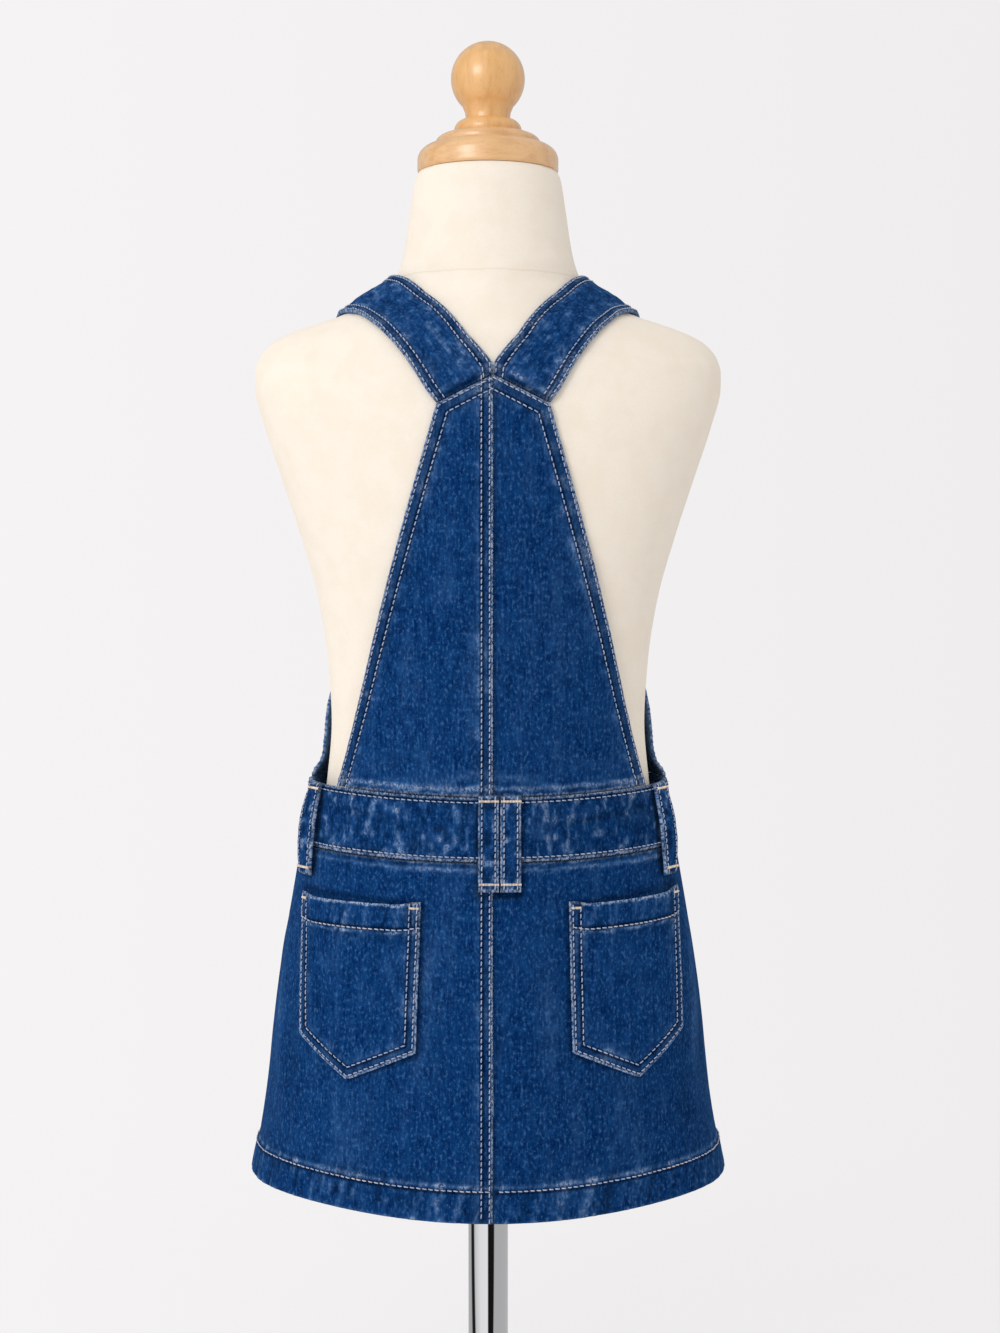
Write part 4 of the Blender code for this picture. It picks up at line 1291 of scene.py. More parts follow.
def pocket_corners(side):
    """A pocket's outline, anticlockwise from its inner or outer top corner."""
    top, outer_top, foot, point, outer_foot = POCKETS[side]
    places = (top, foot, point, outer_foot, outer_top)
    return [(BACK_SEAM + side * arc, level) for arc, level in places][::side]


def loop_places():
    """Each belt loop's node, arcs and levels at its foot and top, bow and twist."""
    places = []
    for node, side in (("loop_back_left", 1), ("loop_back_right", -1)):
        arc = PAIR_CENTRE + side * PAIR_SPREAD / 2
        places.append((node, (arc, arc), (PAIR_FOOT, PAIR_TOP), PAIR_BOW, 0.0))
    for node, side in (("loop_side_left", 1), ("loop_side_right", -1)):
        arcs = (side * SIDE_LOOP_ARC_AT_FOOT, side * SIDE_LOOP_ARC_AT_TOP)
        places.append((node, arcs, (SIDE_LOOP_FOOT, SIDE_LOOP_TOP), SIDE_LOOP_BOW, side * 0.5))
    return places


def under_loops(dark):
    """The painted shadow that each loop's outline leaves on the cloth under it."""
    half = LOOP_WIDTH / 2
    edges = []
    for _, (foot_arc, top_arc), (foot, top), _, _ in loop_places():
        line = [(foot_arc - half, foot), (foot_arc + half, foot)]
        line += [(top_arc + half, top), (top_arc - half, top)]
        edges.append(Edge(line + line[:1], pucker=0.0, wear=0.0, dark=dark))
    return edges


def lapped(pitch):
    """The side of a centre-back seam that laps over: turned under and stitched twice."""
    return dict(
        fold=9.4, rise=0.9, rows=(2.0, 6.75), pucker=0.2, pitch=pitch, wear=0.9, doubled=0.06
    )


def tucked(pitch, dark):
    """The side of a centre-back seam that lies under the other, with painted shade in its dip."""
    return dict(fold=2.0, rise=-0.3, pucker=0.2, pitch=pitch, wear=0.1, dark=dark)


class OVERALL_OT_skirt(bpy.types.Operator):
    """Sew the three skirt panels and turn up their hem"""

    bl_idname = "overall.skirt"
    bl_label = "Skirt"

    def execute(self, context):
        top = BAND_BOTTOM - SEAM
        rows = finer(HEM_LEVEL, top, step=2.6, rim=1.0, pads=(21.0, 10.0))
        levels = np.linspace(HEM_LEVEL, top, 12)
        plain = dict(fold=3.0, pitch=9.0, wear=0.25)

        def seam_left(y):
            return BACK_SEAM + SEAM / 2 + 0.0 * y

        def seam_right(y):
            return BACK_SEAM - SEAM / 2 + 0.0 * y

        panels = (
            ("skirt_back_left", (seam_left, left_side), (lapped(11.0), plain), (12.0, 6.0)),
            ("skirt_back_right", (right_side, seam_right), (plain, tucked(11.0, 0.6)), (6.0, 8.0)),
            ("skirt_front", (front_left, front_right), (plain, plain), (6.0, 6.0)),
        )
        for seed, (node, (left, right), finishes, pads) in enumerate(panels):
            back = node != "skirt_front"
            hem_line = [(left(HEM_LEVEL), HEM_LEVEL), (right(HEM_LEVEL), HEM_LEVEL)]
            top_line = [(right(top), top), (left(top), top)]
            edges = [
                Edge(upright(left, levels[::-1]), **finishes[0]),
                Edge(upright(right, levels), **finishes[1]),
                Edge(
                    hem_line, fold=HEM_DEPTH + 0.6, rise=1.3, rows=(HEM_DEPTH - 0.4,), pucker=0.5,
                    pitch=2.6, wear=1.1, rim=0.2, halo=0.42,
                ),
                # Painted shadow where the skirt's top meets the waistband.
                Edge(top_line, pucker=0.25, pitch=6.0, wear=0.6, ridge=4.6, dark=1.0),
            ]
            if back:
                pocket = pocket_corners(1 if node == "skirt_back_left" else -1)
                # Painted shadow on the skirt along the pocket's outline.
                edges.append(Edge(pocket + pocket[:1], pucker=0.0, wear=0.0, dark=0.8))
                edges += under_loops(0.9)
            ripples = (Ripple(0.15, 7.0, 50.0, 0.08), Ripple(0.08, 3.5, 18.0, 0.08))
            lay, folds = (on_garment(), BACK_CREASES) if back else (on_front(), FRONT_CREASES)
            name = node.replace("skirt", "skirt_panel")
            cloth = Cloth(name, lay, edges, folds=folds, ripples=ripples, deep=0.17, seed=seed)
            width = float(right(HEM_LEVEL) - left(HEM_LEVEL))
            columns = finer(0.0, width, step=2.6, rim=1.0, pads=pads)
            x, y = strip(left, right, columns, rows)
            narrow = float(right(top) - left(top))
            area = 0.5 * (width + narrow) * (top - HEM_LEVEL) + width * HEM_DEPTH
            finish_cloth(cloth, x, y, node, area)
        return {"FINISHED"}


class OVERALL_OT_waistband(bpy.types.Operator):
    """Sew the waistband's back and front"""

    bl_idname = "overall.waistband"
    bl_label = "Waistband"

    def execute(self, context):
        rows = finer(BAND_BOTTOM, BAND_TOP, step=0.9, rim=1.1)
        halves = (
            ("waistband_back", right_side, left_side, on_garment(BAND_PROUD), BACK_CREASES),
            ("waistband_front", front_left, front_right, on_front(BAND_PROUD), FRONT_CREASES),
        )
        for seed, (node, left, right, lay, folds) in enumerate(halves):
            levels = np.linspace(BAND_BOTTOM, BAND_TOP, 5)
            foot_line = [(left(BAND_BOTTOM), BAND_BOTTOM), (right(BAND_BOTTOM), BAND_BOTTOM)]
            top_line = [(right(BAND_TOP), BAND_TOP), (left(BAND_TOP), BAND_TOP)]
            edges = [
                Edge(upright(left, levels[::-1]), fold=3.0),
                Edge(upright(right, levels), fold=3.0),
                Edge(foot_line, fold=4.6, rise=0.25, rows=(2.4,), pucker=0.6, pitch=3.4, wear=1.0),
                Edge(top_line, fold=5.2, rise=0.25, rows=(3.0,), pucker=0.6, pitch=3.6, wear=1.0),
            ]
            if node == "waistband_back":
                edges += under_loops(0.9)
            ripples = (Ripple(0.34, 2.6, 5.0, 0.38), Ripple(0.5, 14.0, 4.5, 0.13))
            cloth = Cloth(
                node + "_cloth", lay, edges, wall=BAND_WALL, folds=folds, ripples=ripples,
                wear=0.03, deep=0.3, seed=5 + seed,
            )
            width = float(right(BAND_BOTTOM) - left(BAND_BOTTOM))
            columns = finer(0.0, width, step=1.5, rim=1.1)
            x, y = strip(left, right, columns, rows)
            narrow = float(right(BAND_TOP) - left(BAND_TOP))
            height = BAND_TOP - BAND_BOTTOM
            area = 0.5 * (width + narrow) * height
            finish_cloth(cloth, x, y, node, area)
        return {"FINISHED"}


def patch(left, right, low, high, across, up):
    """A grid between side lines given by the share of the way up, and ends by the share across."""
    u = across[None, :] + 0.0 * up[:, None]
    v = up[:, None] + 0.0 * across[None, :]
    y = low(u) + v * (high(u) - low(u))
    x = left(v) + u * (right(v) - left(v))
    return x, y


def between(start, end):
    """A value for each share of the way from start to end."""
    return lambda share: start + share * (end - start)


class OVERALL_OT_back_bib(bpy.types.Operator):
    """Sew the two halves of the back bib, the left lapped over the right"""

    bl_idname = "overall.back_bib"
    bl_label = "Back bib"

    def execute(self, context):
        foot = BAND_TOP + SEAM
        for side, node in ((1, "back_bib_left"), (-1, "back_bib_right")):
            seam = BACK_SEAM + side * SEAM / 2
            corner = BACK_SEAM + side * BIB_CORNER
            hip = BACK_SEAM + side * BIB_FOOT
            rim_line = [(seam, BIB_APEX_LEVEL), (corner, BIB_CORNER_LEVEL), (hip, foot)]
            seam_line = [(seam, foot), (seam, BIB_APEX_LEVEL)]
            foot_line = [(hip, foot), (seam, foot)]
            # Every outline runs anticlockwise.
            rim_line, seam_line, foot_line = (
                line[::-side] for line in (rim_line, seam_line, foot_line)
            )
            over_strap = rim_line[1:] if side > 0 else rim_line[:2]
            row = 7.6 if side > 0 else 8.1
            turned = row + 1.7
            edges = [
                Edge(
                    rim_line, fold=turned, rise=0.75, rows=(1.9, row), pucker=0.22, pitch=7.0,
                    wear=0.9,
                ),
                Edge(over_strap, fold=turned, rise=1.35, pitch=7.0, wear=0.2),
                Edge(seam_line, **(lapped(9.0) if side > 0 else tucked(9.0, 0.7))),
                # Painted shadow where the bib's foot meets the waistband.
                Edge(foot_line, pucker=0.3, pitch=7.5, wear=0.75, ridge=4.6, dark=0.8),
            ]
            ripples = (Ripple(0.12, 8.0, 50.0, 0.06), Ripple(0.1, 4.0, 20.0, 0.08))
            cloth = Cloth(
                node.replace("bib", "bib_panel"), on_garment(), edges, folds=BACK_CREASES,
                ripples=ripples, wear=0.035, deep=0.14, seed=8 + side,
            )
            width = BIB_FOOT
            height = BIB_APEX_LEVEL - foot
            across = finer(0.0, width, step=2.2, rim=0.8, pads=(22.0, 22.0)) / width
            up = finer(0.0, height, step=2.4, rim=1.0, pads=(10.0, 14.0)) / height
            sides = (between(seam, seam), between(hip, corner))[::side]
            tops = between(*(BIB_APEX_LEVEL, BIB_CORNER_LEVEL)[::side])
            x, y = patch(*sides, between(foot, foot), tops, across, up)
            outline = [(seam, foot), (hip, foot), (corner, BIB_CORNER_LEVEL)]
            area = polygon_area(outline + [(seam, BIB_APEX_LEVEL)])
            finish_cloth(cloth, x, y, node, area)
        return {"FINISHED"}


def armhole_half_arc(height):
    """The front bib's half width, as an arc from the centre front."""
    foot = BAND_TOP + SEAM
    at_side = float(GARMENT.half_girth(foot) - GARMENT.side_arc(foot)) - SEAM / 2
    heights = [foot] + [row.height for row in ARMHOLE]
    arcs = [at_side] + [row.half_arc for row in ARMHOLE]
    return smooth_values(heights, arcs, height)


def drawn_in(lay):
    """Draws the bib's sides in a little just above the band, where no seam holds them out."""

    def drawn(x, y):
        points, normals = lay(x, y)
        rise = y - BAND_TOP
        by = BIB_DRAW * smooth_step(60.0, 100.0, np.abs(x))
        by = by * smooth_step(1.0, 13.0, rise) * smooth_step(52.0, 14.0, rise)
        return points - normals * by[..., None], normals

    return drawn


class OVERALL_OT_front_bib(bpy.types.Operator):
    """Sew the front bib with its curved armhole edges"""

    bl_idname = "overall.front_bib"
    bl_label = "Front bib"

    def execute(self, context):
        # Its foot meets the band, so that no light comes through behind the open sides.
        foot = BAND_TOP + 0.02
        levels = np.linspace(foot, FRONT_BIB_TOP, 40)
        left_line = upright(lambda y: -armhole_half_arc(y), levels[::-1])
        right_line = upright(armhole_half_arc, levels)
        half = float(armhole_half_arc(foot))
        top_half = ARMHOLE[-1].half_arc
        top_line = [(top_half, FRONT_BIB_TOP), (-top_half, FRONT_BIB_TOP)]
        foot_line = [(-half, foot), (half, foot)]
        rim = dict(fold=8.6, rise=0.75, rows=(1.9, 6.9), pucker=0.22, pitch=7.0, wear=0.65)
        edges = [
            Edge(left_line, **rim),
            Edge(right_line, **rim),
            Edge(top_line, fold=24.0, rise=0.7, rows=(2.0, 22.5), pucker=0.22, wear=0.65),
            # Painted shadow where the bib's foot meets the waistband.
            Edge(foot_line, pucker=0.3, pitch=7.5, wear=0.35, ridge=5.5, dark=0.8),
        ]
        ripples = (Ripple(0.12, 8.0, 50.0, 0.08), Ripple(0.1, 4.0, 20.0, 0.1))
        lay = drawn_in(on_front())
        cloth = Cloth("front_bib_panel", lay, edges, folds=FRONT_CREASES, ripples=ripples, seed=12)
        rows = finer(foot, FRONT_BIB_TOP, step=2.4, rim=1.0, pads=(9.0, 26.0))
        columns = finer(0.0, 2.0 * half, step=2.4, rim=1.0, pads=(24.0, 24.0))
        x, y = strip(lambda y: -armhole_half_arc(y), armhole_half_arc, columns, rows)
        area = polygon_area(left_line[::-1] + right_line[::-1])
        finish_cloth(cloth, x, y, "front_bib", area)
        return {"FINISHED"}


def strap_line(side, count):
    """Points along a strap's middle, where its plane cuts the form, its front half bowed inward.

    side is 1 for the wearer's left and -1 for the right, which is worked out as a left one and then
    mirrored. Only its start differs, because the back seam is off centre.
    """
    start = Vector(STRAP_START) + Vector((side * BACK_SEAM, 0.0, 0.0))
    ridge = Vector(STRAP_RIDGE)
    end = Vector(STRAP_END)
    centre = 0.5 * (start + end)
    back = (start - centre).normalized()
    plane_normal = (ridge - start).cross(end - start).normalized()
    up = back.cross(plane_normal).normalized()
    if up.z < 0.0:
        up = -up
    turn = np.linspace(0.0, math.pi, 4 * count + 1)[:, None]
    directions = np.cos(turn) * np.array(back) + np.sin(turn) * np.array(up)
    inward = STRAP_BOW * np.sin(turn) * (0.5 - 0.5 * np.cos(turn)) ** 2
    line = FORM.hit(np.array(centre) - inward * np.array([1.0, 0.0, 0.0]), directions, 200.0)
    arcs = travel(line)
    even = np.linspace(0.0, arcs[-1], count + 1)
    return read_along(even, arcs, line), even


def stiffened(points, reach):
    """Rows of points eased along the strap, which is too stiff to follow each hollow under it."""
    weights = np.hanning(2 * reach + 3)[1:-1]
    weights = weights / weights.sum()
    padded = np.pad(points, ((reach, reach), (0, 0), (0, 0)), mode="reflect", reflect_type="odd")
    return sum(weight * padded[n : n + len(points)] for n, weight in enumerate(weights))


class StrapPath:
    """A strap's inner face, read by the distance across it and along it from its slanted joint."""

    ROWS = 170
    COLUMNS = 21
    STIFF_ROWS = 9

    def __init__(self, side):
        line, along = strap_line(side, self.ROWS)
        normal = FORM.gradient(line)
        ahead = np.gradient(line, axis=0)
        inward = unit(np.cross(ahead, normal))
        inward = np.where(inward[:, :1] > 0.0, -inward, inward)
        shares = np.linspace(-0.5, 0.5, self.COLUMNS)
        beside = line[:, None] + shares[None, :, None] * STRAP_WIDTH * inward[:, None]
        seam = side * BACK_SEAM
        joint_share = np.linspace(0.0, 1.0, self.COLUMNS)
        arc = seam + BIB_CORNER + joint_share * (SEAM / 2 - BIB_CORNER)
        level = BIB_CORNER_LEVEL + joint_share * (BIB_APEX_LEVEL - BIB_CORNER_LEVEL) + 1.5 * SEAM
        joint = GARMENT.point(level, arc)
        turn_row = int(np.searchsorted(along, STRAP_TURN_IN))
        for row in range(turn_row):
            eased = smooth_step(0.0, 1.0, along[row] / along[turn_row])
            guide = joint + (beside[row] - beside[0])
            beside[row] = guide * (1.0 - eased) + beside[row] * eased
        # In front it rises over the front bib's top edge.
        over = FRONT_BIB_TOP + 6.0
        rising = smooth_step(over + STRAP_RAMP, over, line[:, 2]) * (line[:, 1] < 0.0)
        out = STRAP_LIE + (STRAP_OVER_BIB - STRAP_LIE) * rising
        points = stiffened(FORM.seated(beside, out[:, None]), self.STIFF_ROWS)
        # Just above the joint the two straps press together.
        closer = np.interp(along, (0.0, 6.5, 13.0, 28.0), (0.0, 3.8, 3.0, 0.0))
        least = np.minimum(points[..., 0], seam + 0.35)
        moved = points[..., 0] - closer[:, None] * joint_share ** 2
        points[..., 0] = np.where(closer[:, None] > 0.0, np.maximum(moved, least), points[..., 0])
        seat = FORM.seated(points, 0.8 * out[:, None])
        normal = FORM.gradient(seat)
        above = ((points - seat) * normal).sum(axis=-1, keepdims=True)
        points = seat + normal * np.maximum(above, 0.0)
        across = np.gradient(points, axis=1)
        ahead = np.gradient(points, axis=0)
        normals = unit(np.cross(across, ahead))
        flip = np.sign((normals * FORM.gradient(points)).sum(axis=-1, keepdims=True))
        normals = normals * flip
        if side < 0:
            points, normals = points * MIRROR, normals * MIRROR
        self.points = points
        self.normals = normals
        self.length = float(along[-1])

    def lay(self, x, y):
        """Points and normals on the strap's inner face."""
        row = np.clip(y / self.length, 0.0, 0.99999) * self.ROWS
        column = np.clip(x / STRAP_WIDTH + 0.5, 0.0, 0.99999) * (self.COLUMNS - 1)
        i = row.astype(int)
        j = column.astype(int)
        u = (row - i)[..., None]
        v = (column - j)[..., None]
        found = []
        for values in (self.points, self.normals):
            low = values[i, j] * (1 - v) + values[i, j + 1] * v
            high = values[i + 1, j] * (1 - v) + values[i + 1, j + 1] * v
            found.append(low * (1 - u) + high * u)
        return found[0], unit(found[1])


class OVERALL_OT_straps(bpy.types.Operator):
    """Sew the two shoulder straps from the back bib over the shoulders to the front bib"""

    bl_idname = "overall.straps"
    bl_label = "Straps"

    def execute(self, context):
        for side, node in ((1, "strap_left"), (-1, "strap_right")):
            path = StrapPath(side)
            half = STRAP_WIDTH / 2
            length = path.length
            joint = [(-half, 0.0), (half, 0.0)]
            end = [(half, length), (-half, length)]
            rim = dict(fold=7.2, rise=0.3, rows=(1.7, 6.0), pucker=0.22, pitch=6.0, wear=0.8)
            edges = [
                Edge([end[1], joint[0]], **rim),
                Edge([joint[1], end[0]], **rim),
                Edge(end, fold=6.6, rise=0.3, rows=(1.7, 5.4), pitch=6.0, wear=0.8),
                # Painted shadow where the bib's edge lies over the strap's end.
                Edge(joint, fold=3.0, rise=-1.3, pucker=0.25, wear=0.3, ridge=5.5, dark=1.0),
            ]
            ripples = (Ripple(0.25, 3.0, 3.4, 0.23), Ripple(0.2, 9.0, 11.0, 0.12))
            cloth = Cloth(
                node + "_cloth", path.lay, edges, wall=STRAP_WALL, face=STRAP_WALL,
                ripples=ripples, wear=0.07, seed=15 + side,
            )
            columns = finer(-half, half, step=1.1, rim=1.1, pads=(8.0, 8.0))
            rows = finer(0.0, length, step=1.9, rim=1.1, pads=(10.0, 10.0))
            x, y = np.meshgrid(columns, rows)
            flat, area = (STRAP_WIDTH, length), STRAP_WIDTH * length
            finish_cloth(cloth, x, y, node, area)
        return {"FINISHED"}


class OVERALL_OT_pockets(bpy.types.Operator):
    """Sew the two patch pockets"""

    bl_idname = "overall.pockets"
    bl_label = "Pockets"

    def execute(self, context):
        for side, node in ((1, "pocket_left"), (-1, "pocket_right")):
            pocket = POCKETS[side]
            width = pocket.outer_top[0] - pocket.inner_top[0]
            height = pocket.inner_top[1] - pocket.point[1]
            rim_line = pocket_corners(side)

            def tops(share):
                """The mouth sags between the tabs where the side stitching holds it."""
                sag = smooth_step(0.03, 0.16, share) * smooth_step(0.97, 0.84, share)
                straight = pocket.inner_top[1] + share * (pocket.outer_top[1] - pocket.inner_top[1])
                return straight + 0.3 - POCKET_SAG * sag

            shares = np.linspace(0.0, 1.0, 25)
            arcs = BACK_SEAM + side * (pocket.inner_top[0] + shares * width)
            top_line = list(zip(arcs.tolist(), tops(shares).tolist()))[::-side]
            edges = [
                Edge(
                    rim_line, fold=8.0, rise=0.45, rows=(2.1, 6.7), pucker=0.2, pitch=6.0,
                    wear=0.8, doubled=0.12,
                ),
                Edge(
                    top_line, fold=15.8, rise=0.8, rows=(15.0,), pucker=0.4, pitch=3.2,
                    wear=1.0, halo=0.5,
                ),
            ]
            tacks = []
            for (arc, level), inward in ((pocket.inner_top, 1), (pocket.outer_top, -1)):
                ends = (BACK_SEAM + side * (arc + inward * reach) for reach in (1.6, 7.2))
                tacks.append(Tack(*((end, level - 3.6) for end in ends)))
            cloth = Cloth(
                node + "_cloth", on_garment(SEAM, bow=False), edges, face=DENIM, folds=BACK_CREASES,
                ripples=(Ripple(0.12, 5.0, 18.0, 0.12),), tacks=tacks, wear=0.02, deep=0.08,
                seed=21 + side,
            )
            # A grid line runs to the pointed foot.
            past_inner = pocket.point[0] - pocket.inner_foot[0]
            point_share = past_inner / (pocket.outer_foot[0] - pocket.inner_foot[0])
            split = point_share * width
            first = finer(0.0, split, step=1.9, rim=0.8, pads=(10.0, 0.0))
            second = finer(split, width, step=1.9, rim=0.8, pads=(0.0, 10.0))
            across = np.concatenate([first[:-4], second[3:]]) / width

            def foot(share):
                """The two slanted edges that meet at the point."""
                inner, point, outer = pocket.inner_foot[1], pocket.point[1], pocket.outer_foot[1]
                down = inner + (point - inner) * share / point_share
                past = (share - point_share) / (1.0 - point_share)
                return np.where(share <= point_share, down, point + (outer - point) * past)

            up = finer(0.0, height, step=2.0, rim=0.9, pads=(10.0, 18.0)) / height
            sides = (
                between(BACK_SEAM + side * low[0], BACK_SEAM + side * high[0])
                for low, high in (
                    (pocket.inner_foot, pocket.inner_top), (pocket.outer_foot, pocket.outer_top)
                )
            )
            x, y = patch(*sides, foot, tops, across, up)
            finish_cloth(cloth, x, y, node, polygon_area(rim_line))
        return {"FINISHED"}


def on_loop(arcs, levels, bow, twist):
    """Lays a strip whose ends lie on the band and the skirt, and whose middle stands off them."""

    def lay(x, y):
        share = np.clip((y - levels[0]) / (levels[1] - levels[0]), 0.0, 1.0)
        arc = arcs[0] + share * (arcs[1] - arcs[0]) + x
        rise = bow * np.sin(math.pi * share).clip(0.0) ** 0.6
        edge = x / (LOOP_WIDTH / 2)
        points = GARMENT.point(y, arc)
        normals = GARMENT.normal(y, arc)
        return points + normals * (LOOP_GAP + rise * (1.0 + edge * twist))[..., None], normals

    return lay


class OVERALL_OT_loops(bpy.types.Operator):
    """Sew the belt loops: a pair at the back seam and one at each side"""

    bl_idname = "overall.loops"
    bl_label = "Belt loops"

    def execute(self, context):
        half = LOOP_WIDTH / 2
        for seed, (node, arcs, levels, bow, twist) in enumerate(loop_places()):
            foot, top = levels
            rim = dict(fold=3.0, rows=(2.2,), pucker=0.15, pitch=5.0, wear=0.65)
            ends = dict(fold=5.0, rise=0.6, pucker=0.25, pitch=3.0, wear=0.9)
            edges = [
                Edge([(-half, top), (-half, foot)], **rim),
                Edge([(half, foot), (half, top)], **rim),
                Edge([(half, top), (-half, top)], **ends),
                Edge([(-half, foot), (half, foot)], **ends),
            ]
            tacks = [
                Tack((-half + 0.3, top - 3.6), (half - 0.3, top - 3.6)),
                Tack((-half + 0.3, foot + 4.4), (half - 0.3, foot + 4.4)),
            ]
            lay = on_loop(arcs, levels, bow, twist)
            ripples = (Ripple(0.15, 3.0, 4.0, 0.5),)
            cloth = Cloth(
                node + "_cloth", lay, edges, wall=LOOP_WALL, face=LOOP_WALL, tacks=tacks,
                ripples=ripples, seed=30 + seed, wear=0.1, deep=0.3,
            )
            columns = finer(-half, half, step=0.7, rim=0.95)
            rows = finer(foot, top, step=1.1, rim=0.95)
            x, y = np.meshgrid(columns, rows)
            flat, area = (LOOP_WIDTH, top - foot), LOOP_WIDTH * (top - foot)
            finish_cloth(cloth, x, y, node, area)
        return {"FINISHED"}


class OVERALL_OT_buttons(bpy.types.Operator):
    """Stamp the shank buttons on the strap ends"""

    bl_idname = "overall.buttons"
    bl_label = "Buttons"

    def execute(self, context):
        out = STRAP_OVER_BIB + STRAP_WALL + BUTTON_GAP
        material = brass_material()
        radius, depth = BUTTON_RADIUS, BUTTON_DEPTH
        profile = [(radius * across, depth * up) for across, up in BUTTON_FACE]
        rim_centre, rim_radii = (radius * 0.89, depth * 0.7), (radius * 0.11, depth * 0.3)
        profile += round_over(rim_centre, rim_radii, 150, -60, 10)
        profile += [(radius * 0.9, 0.1), (radius * 0.6, 0.0), (0.0, 0.0)]
        for node, side in (("button_left", 1), ("button_right", -1)):
            line, along = strap_line(side, 400)
            seat = line[np.searchsorted(along, along[-1] - BUTTON_SETBACK)]
            facing = FORM.gradient(seat[None])[0]
            place = seat + out * facing
            if side < 0:
                place, facing = place * MIRROR, facing * MIRROR
            button = lathe("brass_" + node, profile, material, 64)
            turn = Vector(facing).to_track_quat("Z", "Y").to_matrix().to_4x4()
            turn.translation = Vector(place) * MM
            button.data.transform(turn)
            stand_for(button, node)
        return {"FINISHED"}


# ---- stage


# Floor in millimetres. Lamp and camera in metres, the camera's tilt in degrees below level.
FLOOR_REACH = 1500.0
FLOOR_LEVEL = -0.2
KEY_PLACE = (1.4, 2.08, 1.6)
KEY_AIM = (0.0, 0.0, 0.5)
KEY_TINT = (1.0, 0.99, 1.0)
CAMERA_PLACE = (-0.0075, 1.300, 0.531)
CAMERA_TILT = 2.4

# Brightness of the studio for reflections, by the turn in degrees from the open side towards -X
REFLECTED = (
    (-180.0, 0.5), (-122.0, 0.5), (-112.0, 0.02), (-92.0, 0.01), (-84.0, 0.7), (-50.0, 0.95),
    (-4.0, 1.0), (1.0, 0.01), (33.0, 0.01), (38.0, 0.52), (150.0, 0.55), (180.0, 0.5),
)


def studio_surround(settings):
    """A pale surround, a little brighter on the light's side. Its lamps show in reflections."""
    world = bpy.data.worlds.new("Studio surround")
    world.use_nodes = True
    tree = world.node_tree
    node = partial(add_node, tree)
    axes = node("SeparateXYZ", [node("TexCoord", output="Generated")]).node.outputs
    side = node("MapRange", [axes["X"], -0.9, 0.9], **EASED)
    dim, bright = opaque(settings.surround_dim), opaque(settings.surround_bright)
    seen = node("Mix", {0: side, 6: dim, 7: bright}, **TINT)
    turn = node("Math", [axes["X"], -1.0], **TIMES)
    turn = node("Math", [turn, axes["Y"]], operation="ARCTAN2")
    turn = node("Math", [turn, 2.0 * math.pi], operation="DIVIDE")
    reflected = node("ValToRGB", [node("Math", [turn, 0.5], **PLUS)])
    stops = reflected.node.color_ramp.elements
    for number, (degrees, tone) in enumerate(REFLECTED):
        place = degrees / 360.0 + 0.5
        stop = stops[number] if number < 2 else stops.new(place)
        stop.position = place
        stop.color = opaque((tone, tone, tone))
    rays = node("LightPath").node.outputs
    seen = node("Mix", {0: rays["Is Glossy Ray"], 6: seen, 7: reflected}, **TINT)
    # Rays from the lens, from a mirror or through the thinned floor see it at full strength.
    clear = node("Math", [rays["Is Camera Ray"], rays["Is Glossy Ray"]], operation="MAXIMUM")
    clear = node("Math", [clear, rays["Is Transmission Ray"]], operation="MAXIMUM")
    light = settings.surround_light
    fill = node("MapRange", [axes["X"], -0.9, 0.9, 0.965 * light, 1.01 * light], **EASED)
    rest = node("Math", [1.0, fill], operation="SUBTRACT")
    rest = node("Math", [clear, rest], **TIMES)
    strength = node("Math", [fill, rest], **PLUS)
    connect(tree, tree.nodes["Background"], {"Color": seen, "Strength": strength})
    return world


class OVERALL_OT_stage(bpy.types.Operator):
    """Lay the pale floor, and set the soft light and the camera"""

    bl_idname = "overall.stage"
    bl_label = "Stage"

    def execute(self, context):
        scene = context.scene
        settings = scene.overall_studio
        scene.view_settings.view_transform = "Standard"
        scene.view_settings.look = "None"
        scene.world = studio_surround(settings)
        material, node, shader = new_material("Pale studio floor, matt paint")
        shader({"Base Color": opaque(settings.floor), "Roughness": 1.0, "Specular IOR Level": 0.0})
        far = node("VectorMath", [node("TexCoord", output="Object")], "Value", operation="LENGTH")
        # The paint thins into the surround a little way off, so that the floor has no far edge.
        fade = node("MapRange", [far, 0.15, 1.0, 0.85, 1.0], **EASED)
        nodes = material.node_tree.nodes
        paint = nodes["Principled BSDF"].outputs[0]
        both = node("MixShader", [fade, paint, node("BsdfTransparent")])
        connect(material.node_tree, nodes["Material Output"], {"Surface": both})
        square = ((-1.0, -1.0), (1.0, -1.0), (1.0, 1.0), (-1.0, 1.0))
        corners = [(FLOOR_REACH * x, FLOOR_REACH * y, FLOOR_LEVEL) for x, y in square]
        floor = mesh_object("studio_floor", corners, [(0, 1, 2, 3)], material, smooth=False)
        floor.visible_glossy = False

        lamp = bpy.data.lights.new("Key window", "AREA")
        lamp.energy = settings.key_power
        lamp.size = settings.key_size
        lamp.color = KEY_TINT
        held = bpy.data.objects.new("Key window", lamp)
        held.location = KEY_PLACE
        aim = Vector(KEY_AIM) - held.location
        held.rotation_euler = aim.to_track_quat("-Z", "Y").to_euler()
        scene.collection.objects.link(held)

        camera = bpy.data.cameras.new("Camera")
        camera.sensor_fit = "VERTICAL"
        camera.sensor_height = 36.0
        camera.lens = settings.lens
        camera.clip_end = 100.0
        viewer = bpy.data.objects.new("Camera", camera)
        viewer.location = CAMERA_PLACE
        viewer.rotation_euler = (math.radians(90.0 - CAMERA_TILT), 0.0, math.pi)
        scene.collection.objects.link(viewer)
        scene.camera = viewer
        return {"FINISHED"}


# ---- settings and panel


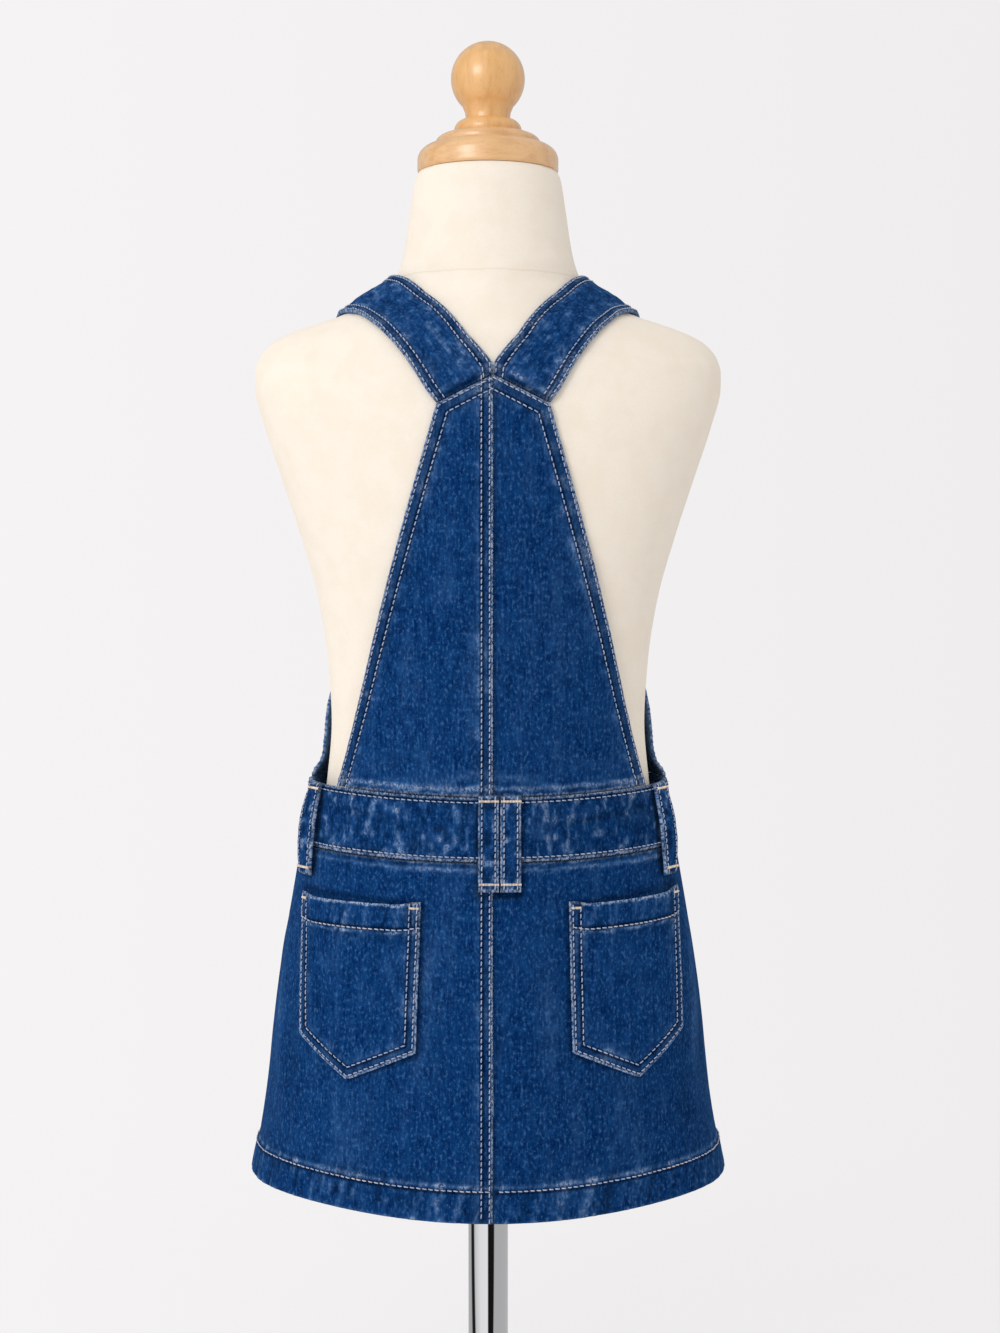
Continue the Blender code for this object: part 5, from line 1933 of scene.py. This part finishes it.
def colour_setting(name, description, value):
    """A colour that a user may change, from its sRGB hex value."""
    return bpy.props.FloatVectorProperty(
        name=name, description=description, default=linear(value), subtype="COLOR", min=0.0, max=1.0
    )


def number_setting(name, description, value, least=0.0, unit="NONE"):
    """A number that a user may change. A length is in metres."""
    return bpy.props.FloatProperty(
        name=name, description=description, default=value, min=least, precision=4, unit=unit
    )


class DenimSettings(bpy.types.PropertyGroup):
    """Colours of the cloth, its thread and its buttons, and the size of the stitches"""

    indigo: colour_setting("Indigo", "Warp where the dye is deepest", "#001F50")
    washed: colour_setting("Washed indigo", "Warp where the wash has lightened it", "#13437A")
    weft: colour_setting("Weft", "Undyed weft between the warp threads, seen from afar", "#6E9CC9")
    thinned: colour_setting("Thinned", "Warp that the wash has begun to wear through", "#3C6699")
    # On fold crests and seam ridges the rubbed colour is partly painted highlight.
    rubbed: colour_setting("Rubbed", "Folds and edges that the wash has rubbed pale", "#A3B1C6")
    # The colour of the painted shade laid on the cloth.
    shadowed: colour_setting("Shadowed", "Cloth drawn down by a seam", "#010A20")
    thread: colour_setting("Thread", "Topstitching", "#FBE6C8")
    greyed: colour_setting("Greyed thread", "Topstitching that the wash has greyed", "#9FAECC")
    brass: colour_setting("Brass", "Buttons", "#B99A62")
    stitch_pitch: number_setting(
        "Stitch pitch", "Distance from one stitch to the next", 3.75 * MM, 0.5 * MM, "LENGTH"
    )
    stitch_length: number_setting(
        "Stitch length", "Length of thread that shows in a stitch", 2.85 * MM, 0.3 * MM, "LENGTH"
    )
    thread_width: number_setting(
        "Thread width", "Thickness of the sewing thread", 0.8 * MM, 0.1 * MM, "LENGTH"
    )


class FormSettings(bpy.types.PropertyGroup):
    """Colours of the dress form and its stand"""

    cotton: colour_setting("Cotton", "Cover of the form", "#F5ECDD")
    beech: colour_setting("Beech", "Light wood between the rings", "#E9B573")
    # The cap's paler colour is painted sheen.
    beech_cap_painted_sheen: colour_setting("Beech cap", "Light wood of the cap, across its grain", "#E9BA83")
    beech_grain: colour_setting("Beech grain", "Dark wood of the rings and flecks", "#C78F55")
    chrome: colour_setting("Chrome", "Pole", "#DDDDDF")
    steel: colour_setting("Steel", "Base plate", "#C6C6C8")


class StudioSettings(bpy.types.PropertyGroup):
    """The light, the floor and the lens"""

    surround_bright: colour_setting("Bright side", "Surround towards the key light", "#FAF8F9")
    surround_dim: colour_setting("Dim side", "Surround away from the key light", "#EAE8E8")
    surround_light: number_setting(
        "Surround light", "Share of the surround's brightness that lights the dress", 0.96
    )
    floor: colour_setting("Floor", "Matt paint", "#FAF9F9")
    key_power: number_setting("Key", "Power of the large light on the left", 20.5, unit="POWER")
    key_size: number_setting("Key size", "Width of the large light", 1.0, 0.01, "LENGTH")
    lens: number_setting("Lens", "Focal length on a sensor 36 mm high", 56.04, 1.0, "CAMERA")


PIECES = (
    OVERALL_OT_form,
    OVERALL_OT_cap,
    OVERALL_OT_stand,
    OVERALL_OT_skirt,
    OVERALL_OT_waistband,
    OVERALL_OT_back_bib,
    OVERALL_OT_front_bib,
    OVERALL_OT_straps,
    OVERALL_OT_pockets,
    OVERALL_OT_loops,
    OVERALL_OT_buttons,
    OVERALL_OT_stage,
)


class OVERALL_PT_panel(bpy.types.Panel):
    """Lists the pieces and their settings"""

    bl_idname = "OVERALL_PT_panel"
    bl_label = "Overall dress"
    bl_space_type = "VIEW_3D"
    bl_region_type = "UI"
    bl_category = "Overall dress"

    def draw(self, context):
        layout = self.layout
        for piece in PIECES:
            layout.operator(piece.bl_idname)
        scene = context.scene
        for group in (scene.overall_denim, scene.overall_form, scene.overall_studio):
            box = layout.box()
            for name in group.__annotations__:
                box.prop(group, name)


CLASSES = (DenimSettings, FormSettings, StudioSettings, *PIECES, OVERALL_PT_panel)


def register():
    for made in CLASSES:
        bpy.utils.register_class(made)
    bpy.types.Scene.overall_denim = bpy.props.PointerProperty(type=DenimSettings)
    bpy.types.Scene.overall_form = bpy.props.PointerProperty(type=FormSettings)
    bpy.types.Scene.overall_studio = bpy.props.PointerProperty(type=StudioSettings)


def unregister():
    del bpy.types.Scene.overall_studio
    del bpy.types.Scene.overall_form
    del bpy.types.Scene.overall_denim
    for made in reversed(CLASSES):
        bpy.utils.unregister_class(made)


def run(operator):
    """Calls an operator by its name, and stops the script if it can't finish."""
    group, name = operator.bl_idname.split(".")
    outcome = getattr(getattr(bpy.ops, group), name)()
    if outcome != {"FINISHED"}:
        raise RuntimeError(f"{operator.bl_label} wasn't built")


def main():
    """Builds every piece in order."""
    register()
    for operator in PIECES:
        run(operator)


if __name__ == "__main__":
    main()
